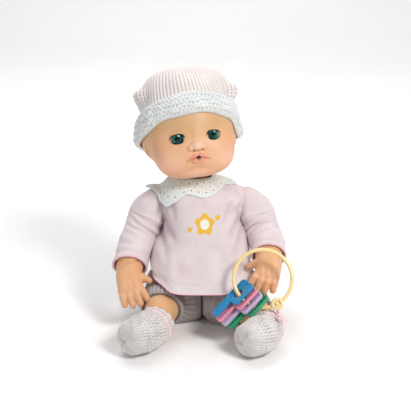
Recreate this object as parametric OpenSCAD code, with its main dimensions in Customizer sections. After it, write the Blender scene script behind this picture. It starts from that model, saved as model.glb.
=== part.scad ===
// Seated interactive baby doll: vinyl head and limbs on a two-part torso with a sound module inside,
// dressed in a tunic, collar, knitted shorts, booties and cap, with a ring of toy keys round one hand.
// Millimetres. The doll faces -Y, its left side is +X, and it sits on the plane z = 0.

/* [Head] */
// Width across the skull
head_w = 103; // [98:1:108]
// Depth from forehead to the back of the skull
head_d = 104; // [99:1:109]
// Height from chin to crown
head_h = 112; // [106:1:118]
// Vinyl wall of the head
head_wall = 3; // [2:0.5:4]
// How far the cheeks stand out
cheek_out = 4.5; // [2:0.5:6]
// How far the nose stands out
nose_out = 7; // [4:0.5:9]
// Face turned up from level, in degrees
head_pitch = 18; // [14:1:20]
// Head leaning towards its right shoulder, in degrees
head_roll = 4.5; // [3:0.5:6]
// Face turned towards its left side, in degrees
head_yaw = 11; // [8:1:13]

/* [Eyes and mouth] */
// Distance between the eye centres
eye_spacing = 40; // [38:0.5:41]
// Radius of an eyeball
eye_r = 10; // [9:0.25:10.5]
// Depth of the eye axle behind the face's deepest ring
eye_set = 9.5; // [9:0.25:11]
// Radius of the coloured lens
iris_r = 4.9; // [4:0.1:5.5]
// Bore of the drinking tube in the mouth
mouth_bore_r = 2.4; // [2:0.1:2.8]
// Length of the drinking tube
mouth_tube_l = 14; // [12:0.5:15]

/* [Torso] */
// Half width of the torso at the belly
belly_a = 47; // [45:0.5:48]
// Belly's reach in front of the seam
belly_f = 60; // [56:0.5:62]
// Reach of the back behind the seam
back_b = 33; // [32:0.5:35]
// Wall of the torso shells
torso_wall = 2.4; // [1.8:0.2:3]
// Height of the shoulder axis above the seat
shoulder_z = 118; // [116:0.5:120]
// Height of the hip axis above the seat
hip_z = 27; // [27:0.25:28]
// Half width of the hip frame between the legs
hip_half = 17; // [15:0.5:18]

/* [Limbs] */
// Radius of the upper arm
arm_r = 17.5; // [16:0.25:18.5]
// Radius of the thigh
thigh_r = 23; // [21:0.25:23.5]
// Radius of the ankle
ankle_r = 14.5; // [13.5:0.25:15]
// Radius of a limb's pivot pin
pivot_r = 8; // [6:0.25:9]
// Radius of a finger
finger_r = 4.3; // [3.8:0.1:4.6]

/* [Clothes] */
// Thickness of the tunic cloth
cloth_t = 1.6; // [1.2:0.1:2]
// Room between the body and the cloth
cloth_gap = 0.9; // [0.7:0.1:1.1]
// Depth of the sleeve folds
fold_d = 1.3; // [0.6:0.1:1.6]
// Thickness of the knitted shorts
knit_t = 2.4; // [1.8:0.1:2.6]
// Thickness of the bootie knit
bootie_t = 4; // [3:0.25:4.5]
// Thickness of the cap's crown
cap_t = 3; // [2.2:0.1:3.4]
// Thickness of the cap's turned-up cuff
cuff_t = 3.4; // [2.6:0.1:4]
// Reach of the collar from the neck ring to a scallop's edge
collar_reach = 27; // [22:0.5:28]

/* [Key ring] */
// Radius of the ring to the middle of its wire
ring_r = 31.5; // [30.5:0.25:32]
// Radius of the ring's wire
wire_r = 2.1; // [1.8:0.05:2.2]
// Thickness of a key
key_t = 3.6; // [3:0.1:3.8]
// Width of a key's head
key_w = 21; // [20:0.5:22]
// Length of a key's head above its hole
key_head_l = 17; // [16:0.5:18]
// Length of a key's blade below its hole
key_blade_l = 35; // [33:0.5:37]
// Pitch of the stacked keys
key_pitch = 5.2; // [5:0.1:5.6]

/* [Sound module] */
// Wall of the battery box
box_wall = 1.8; // [1.4:0.1:2.2]
// Diameter of the loudspeaker
speaker_d = 36; // [30:1:38]
// Depth of the loudspeaker
speaker_h = 14; // [10:0.5:16]
// Diameter of the belly button switch
button_d = 20; // [16:0.5:22]
// Travel of the belly button switch
button_travel = 2.5; // [1.5:0.25:3]
// Travel of the power switch
switch_travel = 4; // [3:0.25:5]

/* [Hidden] */
$fn = 48;

// Running clearance round pins, and the least room between pieces that pass each other
fit = 0.2;
room = 0.5;

// Colours
vinyl = [0.93, 0.72, 0.56];
velour = [0.87, 0.77, 0.80];
knit_white = [0.90, 0.89, 0.87];
knit_grey = [0.60, 0.55, 0.54];
plastic = [0.85, 0.83, 0.80];
ring_yellow = [0.95, 0.80, 0.42];
dark = [0.2, 0.2, 0.22];

// Small vector tools
function unit(v) = v / norm(v);
function mix(a, b, t) = a + (b - a) * t;
function clamp01(t) = max(0, min(1, t));
function smooth(a, b, t) = let (s = clamp01((t - a) / (b - a))) s * s * (3 - 2 * s);
function bell(d, s) = exp(-d * d / (2 * s * s));
function spow(x, p) = sign(x) * pow(abs(x), p);
function turn_x(v, a) = [v.x, v.y * cos(a) - v.z * sin(a), v.y * sin(a) + v.z * cos(a)];
function turn_y(v, a) = [v.x * cos(a) + v.z * sin(a), v.y, v.z * cos(a) - v.x * sin(a)];
function turn_z(v, a) = [v.x * cos(a) - v.y * sin(a), v.x * sin(a) + v.y * cos(a), v.z];

// A smooth curve through control values, at s from 0 to len - 1
function held(p, i) = p[max(0, min(len(p) - 1, i))];
function curve(p, s) =
    let (i = max(0, min(floor(s), len(p) - 2)), t = s - i,
         a = held(p, i - 1), b = held(p, i), c = held(p, i + 1), d = held(p, i + 2))
    0.5 * (2 * b + (c - a) * t + (2 * a - 5 * b + 4 * c - d) * t * t + (3 * b - a - 3 * c + d) * t * t * t);
function heading(p, s) = unit(curve(p, min(s + 0.02, len(p) - 1)) - curve(p, max(s - 0.02, 0)));

// One ring of n points round a curve: half width rx across ref, half depth ry along it
function ring_at(p, s, rx, ry, ref, n) =
    let (c = curve(p, s), t = heading(p, s), b = unit(cross(ref, t)), m = cross(t, b))
    [for (k = [0 : n - 1]) c + b * rx * cos(360 * k / n) + m * ry * sin(360 * k / n)];

// Faces of a grid of rows, seen from the side that the rows turn round
function grid_faces(m, n, start, flip, wrap) = [
    for (i = [0 : m - 2]) for (k = [0 : n - (wrap ? 1 : 2)])
        let (a = start + i * n + k, b = start + i * n + (k + 1) % n, c = b + n, d = a + n)
        for (f = flip ? [[a, b, c], [a, c, d]] : [[a, d, c], [a, c, b]]) f
];

// A closed solid from rows of points, with flat ends
module solid_rows(rows) {
    n = len(rows[0]);
    m = len(rows);
    polyhedron(
        points = [for (r = rows) for (p = r) p],
        faces = concat(
            grid_faces(m, n, 0, false, true),
            [[for (k = [0 : n - 1]) k]],
            [[for (k = [n - 1 : -1 : 0]) (m - 1) * n + k]]));
}

// A closed wall between outer and inner rows. It is a tube, a tube with its last end closed,
// or an open strip
module wall_rows(outer, inner, wrap = true, closed_end = false) {
    n = len(outer[0]);
    m = len(outer);
    q = m * n;
    last = (m - 1) * n;
    polyhedron(
        points = concat([for (r = outer) for (p = r) p], [for (r = inner) for (p = r) p]),
        faces = concat(
            grid_faces(m, n, 0, false, wrap),
            grid_faces(m, n, q, true, wrap),
            [for (k = [0 : n - (wrap ? 1 : 2)]) let (j = (k + 1) % n)
                for (f = [[k, j, q + j], [k, q + j, q + k]]) f],
            closed_end
                ? [[for (k = [n - 1 : -1 : 0]) last + k], [for (k = [0 : n - 1]) q + last + k]]
                : [for (k = [0 : n - (wrap ? 1 : 2)]) let (a = last + k, b = last + (k + 1) % n)
                    for (f = [[a, q + a, q + b], [a, q + b, b]]) f],
            wrap ? [] : [for (i = [0 : m - 2]) let (a = i * n, b = a + n, c = a + n - 1, d = b + n - 1)
                for (f = [[q + a, q + b, b], [q + a, b, a], [c, d, q + d], [c, q + d, q + c]]) f]));
}

// HEAD
// The head is a round skull swollen by cheeks, nose, lips, chin and ears.
// Directions from its centre are given as degrees to the side of the nose and degrees above level.
head_centre = [-16, 15, 207];
eye_drop = 10;
neck_tilt = 14;
neck_r = 19;
neck_off = [0, 12, -48];
mouth_angle = 36;
function bump(lon, lat, at_lon, at_lat, s_lon, s_lat) =
    bell((lon - at_lon) * cos(lat), s_lon) * bell(lat - at_lat, s_lat);
// Swellings: height, degrees to the side, degrees above level, and the spread both ways
cheek = [cheek_out, 44, -30, 20, 15];
nose = [nose_out, 0, -21, 6, 6];
lips = [2.2, 0, -37, 11, 7];
chin = [4, 0, -55, 13, 9];
eye_hollow = [-2.6, 24, -12, 10, 7];
ear = [5.5, 92, -17, 8, 11];
function swelling(f, side, lat) = f[0] * bump(side, lat, f[1], f[2], f[3], f[4]);
function face_swell(lon, lat) =
    let (side = abs(lon))
    swelling(cheek, side, lat) + swelling(nose, side, lat) + swelling(lips, side, lat)
    + swelling(chin, side, lat) + swelling(eye_hollow, side, lat) + swelling(ear, side, lat);
// The skull is an egg above the eyes and grows squarer towards the jaw
jowl = 0.75;
function skull_r(u, p) = pow(
    pow(abs(u.x) / (head_w / 2), p) + pow(abs(u.y) / (head_d / 2), p) + pow(abs(u.z) / (head_h / 2), p),
    -1 / p);
function head_r(u) =
    let (lat = asin(u.z), lon = atan2(u.x, -u.y))
    skull_r(u, 2 + jowl * smooth(0, 50, -lat) * smooth(-0.1, 0.6, -u.y)) + face_swell(lon, lat);

function head_turned(v) = turn_z(turn_y(turn_x(v, -head_pitch), -head_roll), head_yaw);
module in_head() {
    translate(head_centre) rotate([-head_pitch, -head_roll, head_yaw]) children();
}
// Directions counted from the neck, so that the neck opening is a ring of the grid
function neck_dir(lon, lat) =
    turn_x([cos(lat) * sin(lon), -cos(lat) * cos(lon), sin(lat)], neck_tilt);
head_cols = 32;
head_steps = 18;
crown_lat = 86;
neck_lat = -90 + atan2(neck_r, norm(neck_off));
function head_rows(grow) = [
    for (i = [0 : head_steps]) let (lat = mix(neck_lat, crown_lat, i / head_steps))
        [for (k = [0 : head_cols - 1])
            let (u = neck_dir(360 * k / head_cols, lat)) u * (head_r(u) + grow)]
];

// The eye axle runs across the head behind the face
face_set_back = 5.5;
eye_at = [eye_spacing / 2, -(head_d / 2 - face_set_back - eye_set), -eye_drop];
eye_room = 1.2;
mouth_dir = turn_x([0, -1, 0], mouth_angle);
tube_wall = 0.9;
tube_r = mouth_bore_r + tube_wall;

module head_shell() {
    color(vinyl) in_head() difference() {
        wall_rows(head_rows(0), head_rows(-head_wall), closed_end = true);
        for (side = [-1, 1]) translate([side * eye_at.x, eye_at.y, eye_at.z]) sphere(eye_r + eye_room);
        along_mouth() cylinder(r = tube_r + fit, h = head_d);
    }
}
// Frame at the head's centre with +z out through the lips
module along_mouth() {
    rotate([90 + mouth_angle, 0, 0]) children();
}
// The tube ends a little behind the lips
lip_depth = 1;
mouth_face = head_r(mouth_dir) - lip_depth;
module mouth_tube() {
    color(plastic) in_head() along_mouth() translate([0, 0, mouth_face - mouth_tube_l]) difference() {
        cylinder(r = tube_r, h = mouth_tube_l);
        translate([0, 0, -1]) cylinder(r = mouth_bore_r, h = mouth_tube_l + 2);
    }
}

// Neck: a plug held in the head's opening by a lip turns in a socket ring on the torso
plug_r = 12.5;
plug_room = 0.8;
plug_flange_t = 2.6;
plug_lip_t = 3;
plug_lip_out = 1.6;
plug_tail = 4;
socket_t = 6;
neck_gap = 2;
module along_neck() {
    in_head() translate(neck_off) rotate([neck_tilt, 0, 0]) children();
}
module neck_plug() {
    plug_l = neck_gap + socket_t + plug_tail;
    color(vinyl) along_neck() {
        translate([0, 0, -1]) cylinder(r = neck_r - plug_room, h = plug_flange_t + 1);
        translate([0, 0, plug_flange_t]) cylinder(r = neck_r + plug_lip_out, h = plug_lip_t);
        translate([0, 0, -plug_l]) cylinder(r = plug_r, h = plug_l);
        translate([0, 0, -plug_l]) cylinder(r = plug_r + plug_lip_out, h = plug_lip_t);
    }
}
module neck_socket() {
    color(plastic) along_neck() translate([0, 0, -neck_gap - socket_t]) difference() {
        cylinder(r = neck_ring_r, h = socket_t);
        translate([0, 0, -1]) cylinder(r = plug_r + fit, h = socket_t + 2);
    }
}

// EYES
// Each eye is a ball with a lens and a lid, and both balls turn on one axle
axle_r = 1.5;
axle_fit = 0.08;
film = 0.05;
lens_t = 0.5;
lid_t = 0.7;
lid_edge = 30;
module at_eye(side) {
    in_head() translate([side * eye_at.x, eye_at.y, eye_at.z]) children();
}
module across(h, r) {
    rotate([0, 90, 0]) cylinder(r = r, h = h, center = true);
}
module eyeball(side) {
    color("white") at_eye(side) rotate([0, 90, 0]) rotate_extrude() intersection() {
        circle(eye_r);
        translate([axle_r + film / 2, -eye_r]) square([eye_r, 2 * eye_r]);
    }
}
module iris(side) {
    color([0.05, 0.45, 0.45]) at_eye(side) difference() {
        intersection() {
            sphere(eye_r + lens_t);
            rotate([90, 0, 0]) cylinder(r = iris_r, h = 2 * eye_r);
        }
        sphere(eye_r + film / 2);
    }
}
module eyelid(side) {
    color(vinyl) at_eye(side) difference() {
        sphere(eye_r + film + lid_t);
        sphere(eye_r + film);
        rotate([-lid_edge, 0, 0]) translate([-2 * eye_r, -3 * eye_r, -3 * eye_r])
            cube([4 * eye_r, 6 * eye_r, 3 * eye_r]);
        across(3 * eye_r, axle_r + 1);
    }
}
// A weight hangs behind the axle on two arms: it holds the eyes open and shuts them when the doll lies down
weight_r = 3.6;
weight_l = 9;
weight_out = 9.6;
weight_angle = 62;
weight_arm = 2;
module eye_axle() {
    color("silver") in_head() translate([0, eye_at.y, eye_at.z]) {
        across(eye_spacing + 1.2 * eye_r, axle_r);
        rotate([-weight_angle, 0, 0]) {
            translate([0, weight_out, 0]) across(weight_l, weight_r);
            for (x = [-3, 3]) translate([x - weight_arm / 2, 0, -weight_arm / 2])
                cube([weight_arm, weight_out, weight_arm]);
        }
    }
}
// Bearing frame: a bar behind the eyes with two lugs that carry the axle near its ends
frame_t = 3;
frame_h = 8;
frame_back = 16;
lug_t = 2;
lug_x = eye_spacing / 2 - eye_r - 1.8;
frame_y = eye_at.y + frame_back;
// The bar's ends stop just inside the head's wall
function bar_end(x, tries) =
    let (y = frame_y, z = eye_drop + frame_h / 2, in = head_r(unit([x, y, -z])) - head_wall - 2 * room,
         next = sqrt(in * in - y * y - z * z))
    tries == 0 ? next : bar_end(next, tries - 1);
frame_end = bar_end(head_w / 3, 5);
module eye_frame() {
    color(plastic) in_head() difference() {
        union() {
            translate([-frame_end, frame_y, -eye_drop - frame_h / 2]) cube([2 * frame_end, frame_t, frame_h]);
            for (side = [-1, 1])
                translate([side * lug_x - lug_t / 2, eye_at.y - frame_t, -eye_drop - frame_h / 2])
                    cube([lug_t, frame_back + frame_t + 0.5, frame_h]);
        }
        translate([0, eye_at.y, eye_at.z]) across(4 * lug_x, axle_r + axle_fit);
    }
}

// CAP
// The cap follows the skull. Its rim is a plane that drops towards the nape
cap_tilt = 25;
cap_cols = 30;
cap_steps = 9;
rim_lat = -10;
cuff_top_lat = 16;
function cap_dir(lon, lat) = turn_x([cos(lat) * sin(lon), -cos(lat) * cos(lon), sin(lat)], -cap_tilt);
// The crown is a little baggy on top, with a soft corner at each side
cap_slack = 13;
cap_gap = 1.1;
cap_corner = 12;
function cap_bag(lon, lat) = cap_slack * smooth(12, 75, lat)
    + cap_corner * (bump(lon, lat, 84, 39, 14, 10) + bump(lon, lat, 276, 39, 14, 10));
function cap_rows(low, high, steps, grow) = [
    for (i = [0 : steps]) let (lat = mix(low, high, i / steps))
        [for (k = [0 : cap_cols - 1]) let (lon = 360 * k / cap_cols, u = cap_dir(lon, lat))
            u * (head_r(u) + grow + cap_bag(lon, lat))]
];
module cap_crown() {
    color([0.88, 0.80, 0.79]) in_head() wall_rows(
        cap_rows(rim_lat + 2, crown_lat, cap_steps, cap_gap + cap_t),
        cap_rows(rim_lat + 2, crown_lat, cap_steps, cap_gap), closed_end = true);
}
// The cuff is a band with rounded edges: its height and its share of the full thickness, row by row
cuff_profile = [[rim_lat, 0.45], [rim_lat + 5, 0.95], [0, 1], [cuff_top_lat - 5, 0.95], [cuff_top_lat, 0.45]];
module cap_cuff() {
    inner = cap_gap + cap_t + room;
    color(knit_white) in_head() wall_rows(
        [for (r = cuff_profile) cap_rows(r[0], r[0], 1, inner + cuff_t * r[1])[0]],
        [for (r = cuff_profile) cap_rows(r[0], r[0], 1, inner)[0]]);
}

// TORSO
// Sections of the torso at rising heights: half width, reach in front of the seam and behind it
seam_y = 10;
waist_z = hip_z + 30;
shoulder_a = belly_a - 4;
torso_z = [waist_z, waist_z + 20, waist_z + 42, shoulder_z, shoulder_z + 15, shoulder_z + 25,
    shoulder_z + 31];
torso_a = [belly_a - 3, belly_a - 1, belly_a - 4, shoulder_a - 0.5, shoulder_a - 5, shoulder_a - 12,
    shoulder_a - 20];
// The neck leans to the doll's right over the shoulders
neck_lean = -10;
function lean(z) = neck_lean * smooth(shoulder_z, shoulder_z + 30, z);
torso_f = [belly_f - 6, belly_f, belly_f - 5, belly_f - 12, belly_f - 20, belly_f - 29, belly_f - 39];
torso_b = [back_b - 1, back_b, back_b, back_b - 1, back_b - 3, back_b - 7, back_b - 11];
neck_ring_r = 17.2;
square = 0.8;
function section(z, a, f, b, n, from, to) = [
    for (k = [0 : n - 1])
        let (w = mix(from, to, k / n), c = spow(cos(w), square), s = spow(sin(w), square))
        [lean(z) + a * c, seam_y + (s < 0 ? f : b) * s, z]
];
torso_steps = 12;
torso_gaps = len(torso_z) - 1;
function torso_rows(grow, from, to, n) = [
    for (i = [0 : torso_steps]) let (s = torso_gaps * i / torso_steps)
        section(curve(torso_z, s), curve(torso_a, s) + grow, curve(torso_f, s) + grow,
            curve(torso_b, s) + grow, n, from, to)
];
// Half of the torso: the last column is added, so that the strip ends on the seam
half_cols = 16;
function half_rows(grow, from) = torso_rows(grow, from, from + 180 + 180 / (half_cols - 1), half_cols);
// The halves meet with a hair's width between them
seam_gap = 0.05;
module torso_half(from) {
    wall_rows(half_rows(0, from), half_rows(-torso_wall, from), wrap = false);
}
module shoulder_holes() {
    translate([0, seam_y, shoulder_z]) across(3 * belly_a, pivot_r + fit);
}
button_z = waist_z + 21;
speaker_z = shoulder_z - 20;
grille_pitch = 8;
grille_r = 1.5;
module torso_front() {
    color(vinyl) difference() {
        translate([0, -seam_gap, 0]) torso_half(180);
        shoulder_holes();
        translate([0, 0, button_z]) rotate([90, 0, 0]) cylinder(r = button_d / 2 + fit, h = 2 * belly_f);
        for (x = [-1, 0, 1], z = [-1, 0, 1])
            translate([x * grille_pitch, 0, speaker_z + z * grille_pitch]) rotate([90, 0, 0])
                cylinder(r = grille_r, h = 2 * belly_f);
    }
}
door_w = 44;
door_h = 54;
door_z = waist_z + 6;
door_screw_z = door_z + door_h - 5;
screw_r = 1.4;
screw_head_r = 2.8;
screw_head_t = 1.4;
screw_y = seam_y + back_b - 2;
module door_opening(extra) {
    translate([-door_w / 2 - extra, seam_y + back_b / 2, door_z - extra])
        cube([door_w + 2 * extra, back_b, door_h + 2 * extra]);
}
switch_w = 5;
switch_h = 4;
switch_z = door_z + door_h + 5;
module torso_back() {
    color(vinyl) difference() {
        translate([0, seam_gap, 0]) torso_half(0);
        shoulder_holes();
        door_opening(fit);
        translate([-switch_w / 2, seam_y + back_b / 2, switch_z - switch_h / 2 - fit])
            cube([switch_w, back_b, switch_h + switch_travel + 2 * fit]);
    }
}
module battery_door() {
    color(plastic) difference() {
        intersection() {
            translate([0, seam_gap, 0]) torso_half(0);
            door_opening(0);
        }
        translate([0, seam_y, door_screw_z]) rotate([-90, 0, 0])
            cylinder(r = screw_r + 1.5 * fit, h = 2 * back_b);
        translate([0, screw_y - fit, door_screw_z]) rotate([-90, 0, 0])
            cylinder(r = screw_head_r + 1.5 * fit, h = back_b);
    }
}

// Hip frame: a plate under the torso shells and a block between the legs, with the hip bores
plate_t = 3;
seat_gap = 2.6;
block_f = 46;
block_b = 30;
hip_y = -8;
waist_gap = 0.4;
floor_z = waist_z - waist_gap;
pocket_wall = 4;
// Two pockets are cored out of the block from below: start behind its front face, and length
pockets = [[pocket_wall, 10], [block_f + hip_y - seam_y + 14, 16]];
bracket_w = 26;
bracket_over = 8;
module hip_frame() {
    color(plastic) difference() {
        union() {
            translate([0, 0, floor_z - plate_t]) linear_extrude(plate_t)
                polygon([for (p = section(0, torso_a[0], torso_f[0], torso_b[0], 40, 0, 360)) [p.x, p.y]]);
            translate([-hip_half, seam_y - block_f, seat_gap])
                cube([2 * hip_half, block_f + block_b, floor_z - 1 - seat_gap]);
            translate([-bracket_w / 2, button_back, floor_z - 1])
                cube([bracket_w, plate_t, button_z - floor_z + bracket_over]);
        }
        translate([0, hip_y, hip_z]) across(4 * hip_half, pivot_r + fit);
        foot_holes();
        for (pocket = pockets) translate([-hip_half + pocket_wall, seam_y - block_f + pocket[0], 0])
            cube([2 * (hip_half - pocket_wall), pocket[1], floor_z - 2 * plate_t]);
    }
}

// Sound module: a plate standing on the hip frame carries the box, the board and the loudspeaker
plate_y = seam_y + 8;
module_w = 60;
module_h = 64;
foot_x = 24;
foot_d = 7;
foot_t = 3;
module foot_holes() {
    for (side = [-1, 1]) translate([side * foot_x, plate_y - foot_d / 2, floor_z - 2 * plate_t])
        cylinder(r = screw_r + 0.1, h = 4 * plate_t);
}
module module_frame() {
    color(plastic) difference() {
        union() {
            translate([-module_w / 2, plate_y, floor_z]) cube([module_w, plate_t, module_h]);
            for (side = [-1, 1]) translate([side * foot_x - foot_d / 2, plate_y - foot_d, floor_z])
                cube([foot_d, foot_d + 1, foot_t]);
        }
        foot_holes();
    }
}
// The AAA cell is a standard part
cell_d = 10.5;
cell_l = 44.5;
nipple_r = 1.9;
nipple_h = 0.8;
cell_pitch = cell_d + 0.9;
box_y = plate_y + plate_t;
box_w = 3 * (cell_d + 1) + 2 * box_wall;
box_h = cell_l + 4 + 2 * box_wall;
box_d = cell_d + 2 + box_wall;
box_z = door_z + 1;
module battery_box() {
    color(dark) translate([-box_w / 2, box_y, box_z]) difference() {
        cube([box_w, box_d, box_h]);
        translate([box_wall, box_wall, box_wall]) cube([box_w - 2 * box_wall, box_d, box_h - 2 * box_wall]);
    }
}
cell_y = box_y + box_wall + 1 + cell_d / 2;
cell_z = box_z + box_wall + 2;
module each_cell() {
    for (i = [-1, 0, 1]) translate([i * cell_pitch, cell_y, cell_z]) children();
}
module batteries() {
    color("seagreen") each_cell() {
        cylinder(r = cell_d / 2, h = cell_l - nipple_h);
        cylinder(r = nipple_r, h = cell_l);
    }
}
// Each end of a cell meets a plate: through a ring at the bottom and a boss at the top
contact_t = 0.8;
contact_w = 8;
contact_h = 1.2;
contact_r = 3.5;
module battery_contacts() {
    color("silver") each_cell() {
        for (z = [-contact_h - contact_t, cell_l + contact_h])
            translate([-contact_w / 2, -contact_w / 2, z]) cube([contact_w, contact_w, contact_t]);
        translate([0, 0, -contact_h]) difference() {
            cylinder(r = contact_r, h = contact_h);
            translate([0, 0, -1]) cylinder(r = contact_r - 1, h = contact_h + 2);
        }
        translate([0, 0, cell_l]) cylinder(r = contact_r - 1, h = contact_h);
    }
}
module door_screw() {
    shank = 5;
    color("silver") translate([0, screw_y, door_screw_z]) rotate([-90, 0, 0]) {
        translate([0, 0, -shank]) cylinder(r = screw_r, h = shank);
        cylinder(r = screw_head_r, h = screw_head_t);
    }
}
board_t = 1.6;
board_h = 15;
board_z = floor_z + 8;
board_gap = 3;
board_w = 54;
post_x = 22;
post_r = 2.2;
chip = [12, 2, 10];
capacitor = [6, 3, 6];
module circuit_board() {
    y = plate_y - board_gap - board_t;
    color("darkgreen") {
        translate([-board_w / 2, y, board_z]) cube([board_w, board_t, board_h]);
        for (x = [-post_x, post_x]) translate([x, y + board_t, board_z + board_h / 2]) rotate([-90, 0, 0])
            cylinder(r = post_r, h = board_gap);
        translate([-chip.x / 2, y - chip.y, board_z + 3]) cube(chip);
        translate([2 * capacitor.x, y - capacitor.y, board_z + 4]) cube(capacitor);
    }
}
// Loudspeaker: a magnet, a basket that widens to a rim, and a hollow cone
module speaker() {
    magnet_r = speaker_d * 0.3;
    magnet_h = speaker_h * 0.4;
    rim_z = speaker_h * 0.8;
    cone_z = speaker_h * 0.55;
    color(dark) translate([0, plate_y, speaker_z]) rotate([90, 0, 0]) difference() {
        union() {
            cylinder(r = magnet_r, h = magnet_h);
            translate([0, 0, magnet_h]) cylinder(r1 = magnet_r, r2 = speaker_d / 2, h = rim_z - magnet_h);
            translate([0, 0, rim_z]) cylinder(r = speaker_d / 2, h = speaker_h - rim_z);
        }
        translate([0, 0, cone_z])
            cylinder(r1 = speaker_d * 0.14, r2 = speaker_d * 0.42, h = speaker_h - cone_z + 0.1);
    }
}
// Belly button switch: a cap in the front shell, a flange behind the shell and a spring on the bracket
button_face = seam_y - belly_f - 0.6;
button_l = 8;
flange_t = 2;
flange_out = 2;
spring_l = 7;
button_back = button_face + button_l + flange_t + spring_l;
spring_turns = 4;
module tummy_button() {
    color("white") translate([0, button_face, button_z]) rotate([-90, 0, 0]) {
        cylinder(r = button_d / 2, h = button_l);
        translate([0, 0, button_l]) cylinder(r = button_d / 2 + flange_out, h = flange_t);
    }
}
// A spring is one tube wound along its axis, with rings of six points
module coil_spring(r, wire, length, turns) {
    per_turn = 8;
    solid_rows([for (i = [0 : turns * per_turn])
        let (w = 360 * i / per_turn, z = wire + (length - 2 * wire) * i / (turns * per_turn))
            [for (k = [0 : 5]) [
                (r + wire * cos(60 * k)) * cos(w),
                -(r + wire * cos(60 * k)) * sin(w),
                z + wire * sin(60 * k)]]]);
}
module button_spring() {
    color("silver") translate([0, button_face + button_l + flange_t, button_z]) rotate([-90, 0, 0])
        coil_spring(5, 0.5, spring_l, spring_turns);
}
module power_switch() {
    knob_d = 4.4;
    base_d = 2;
    y = seam_y + back_b - 1 - torso_wall - 2.4;
    color(dark) {
        translate([-switch_w / 2 + fit, y, switch_z - switch_h / 2])
            cube([switch_w - 2 * fit, knob_d, switch_h]);
        translate([-switch_w, y - base_d, switch_z - switch_h]) cube([2 * switch_w, base_d, 2 * switch_h]);
    }
}
module module_screws() {
    color("silver") for (side = [-1, 1]) translate([side * foot_x, plate_y - foot_d / 2, floor_z]) {
        translate([0, 0, foot_t]) cylinder(r = screw_head_r, h = screw_head_t);
        translate([0, 0, -plate_t + 1]) cylinder(r = screw_r, h = plate_t + foot_t - 1);
    }
}

// ARMS
// Control points from the rounded top of the shoulder through elbow and wrist to the knuckles,
// for the right (-1) and the left (1) arm. The side towards the torso is flat
sleeve_gap = 1.8;
arm_root = shoulder_a + cloth_gap + 2 * cloth_t + 1.2;
arm_x = arm_root + 13;
arm_cols = 14;
arm_steps = 18;
sleeve_cols = 16;
sleeve_steps = 12;
// Rows of the sleeve crowd towards the shoulder, where its form turns fastest
sleeve_crowd = 1.3;
function arm_points(side) = side < 0
    ? [[-arm_x, 9, shoulder_z + 20], [-arm_x - 0.5, 9, shoulder_z + 13], [-arm_x - 1.5, 8, shoulder_z],
       [-66, 3, 101], [-73, -8, 84], [-79, -29, 70], [-82, -48, 61], [-81, -61, 53.5], [-79.5, -74, 47]]
    : [[arm_x, 9, shoulder_z + 20], [arm_x + 0.5, 9, shoulder_z + 13], [arm_x + 1.5, 8, shoulder_z],
       [65, 3, 103], [71, -8, 89], [75, -29, 80], [75, -46, 74], [74, -58, 68], [72.5, -69, 62]];
arm_rx = [5, arm_r - 3, arm_r + 0.5, arm_r, arm_r - 0.5, arm_r - 1, arm_r - 3, arm_r - 3, arm_r - 4.5];
arm_ry = [5, arm_r - 3, arm_r + 0.5, arm_r, arm_r - 0.5, arm_r - 1.5, arm_r - 5, arm_r - 8, arm_r - 11];
wrist_s = 6;
knuckle_s = 8;
hand_back = [0, -0.6, 0.8];
// Folds run round the sleeve, strongest at the elbow, and die out at the shoulder and the cuff
function fold_wave(s, w) = sin(s * 300 + 40 * sin(w)) * smooth(1.8, 3, s) * (1 - smooth(4.6, 5.4, s));
function arm_ring(side, s, grow, flat, n, fold) =
    let (p = arm_points(side), c = curve(p, s), t = heading(p, s),
         b = unit(cross(hand_back, t)), m = cross(t, b))
    [for (k = [0 : n - 1])
        let (w = 360 * k / n, r = grow + fold * fold_wave(s, w),
             q = c + b * (curve(arm_rx, s) + r) * cos(w) + m * (curve(arm_ry, s) + r) * sin(w))
        [side * max(side * q.x, flat), q.y, q.z]];
function arm_rows(side, from, to, steps, grow, flat, n, fold) = [
    for (i = [0 : steps]) arm_ring(side, mix(from, to, i / steps), grow, flat, n, fold)
];
function hand_frame(side) =
    let (p = arm_points(side), t = unit(p[knuckle_s] - p[wrist_s]), b = unit(cross(hand_back, t)))
    [p[knuckle_s], t, b, cross(t, b)];
// Fingers from the index to the little one: place across the knuckles, length and spread
finger_place = [-9.6, -3.3, 3, 9];
finger_len = [15, 17, 16, 12];
finger_splay = [-0.18, -0.04, 0.06, 0.2];
thumb_len = 14;
finger_cols = 10;
module finger(a, b, c) {
    for (q = [[a, b], [b, c]]) hull() {
        translate(q[0]) sphere(finger_r, $fn = finger_cols);
        translate(q[1]) sphere(finger_r - 0.3, $fn = finger_cols);
    }
}
module arm(side) {
    h = hand_frame(side);
    in = h[2] * side;
    color(vinyl) union() {
        solid_rows(arm_rows(side, 0, knuckle_s, arm_steps, 0, arm_root, arm_cols, 0));
        for (i = [0 : 3]) {
            base = h[0] - h[1] * 2 - h[3] * 0.5 + in * finger_place[i];
            mid = base + (h[1] + in * finger_splay[i]) * finger_len[i] * 0.6;
            finger(base, mid, mid + (h[1] * 0.85 - h[3] * 0.5 + in * finger_splay[i]) * finger_len[i] * 0.5);
        }
        thumb_base = h[0] - h[1] * 13 - h[3] - in * 9;
        thumb_mid = thumb_base + (h[1] * 0.35 - in * 0.9) * thumb_len * 0.6;
        finger(thumb_base, thumb_mid, thumb_mid + (h[1] * 0.75 - in * 0.55) * thumb_len * 0.5);
    }
}
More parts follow.
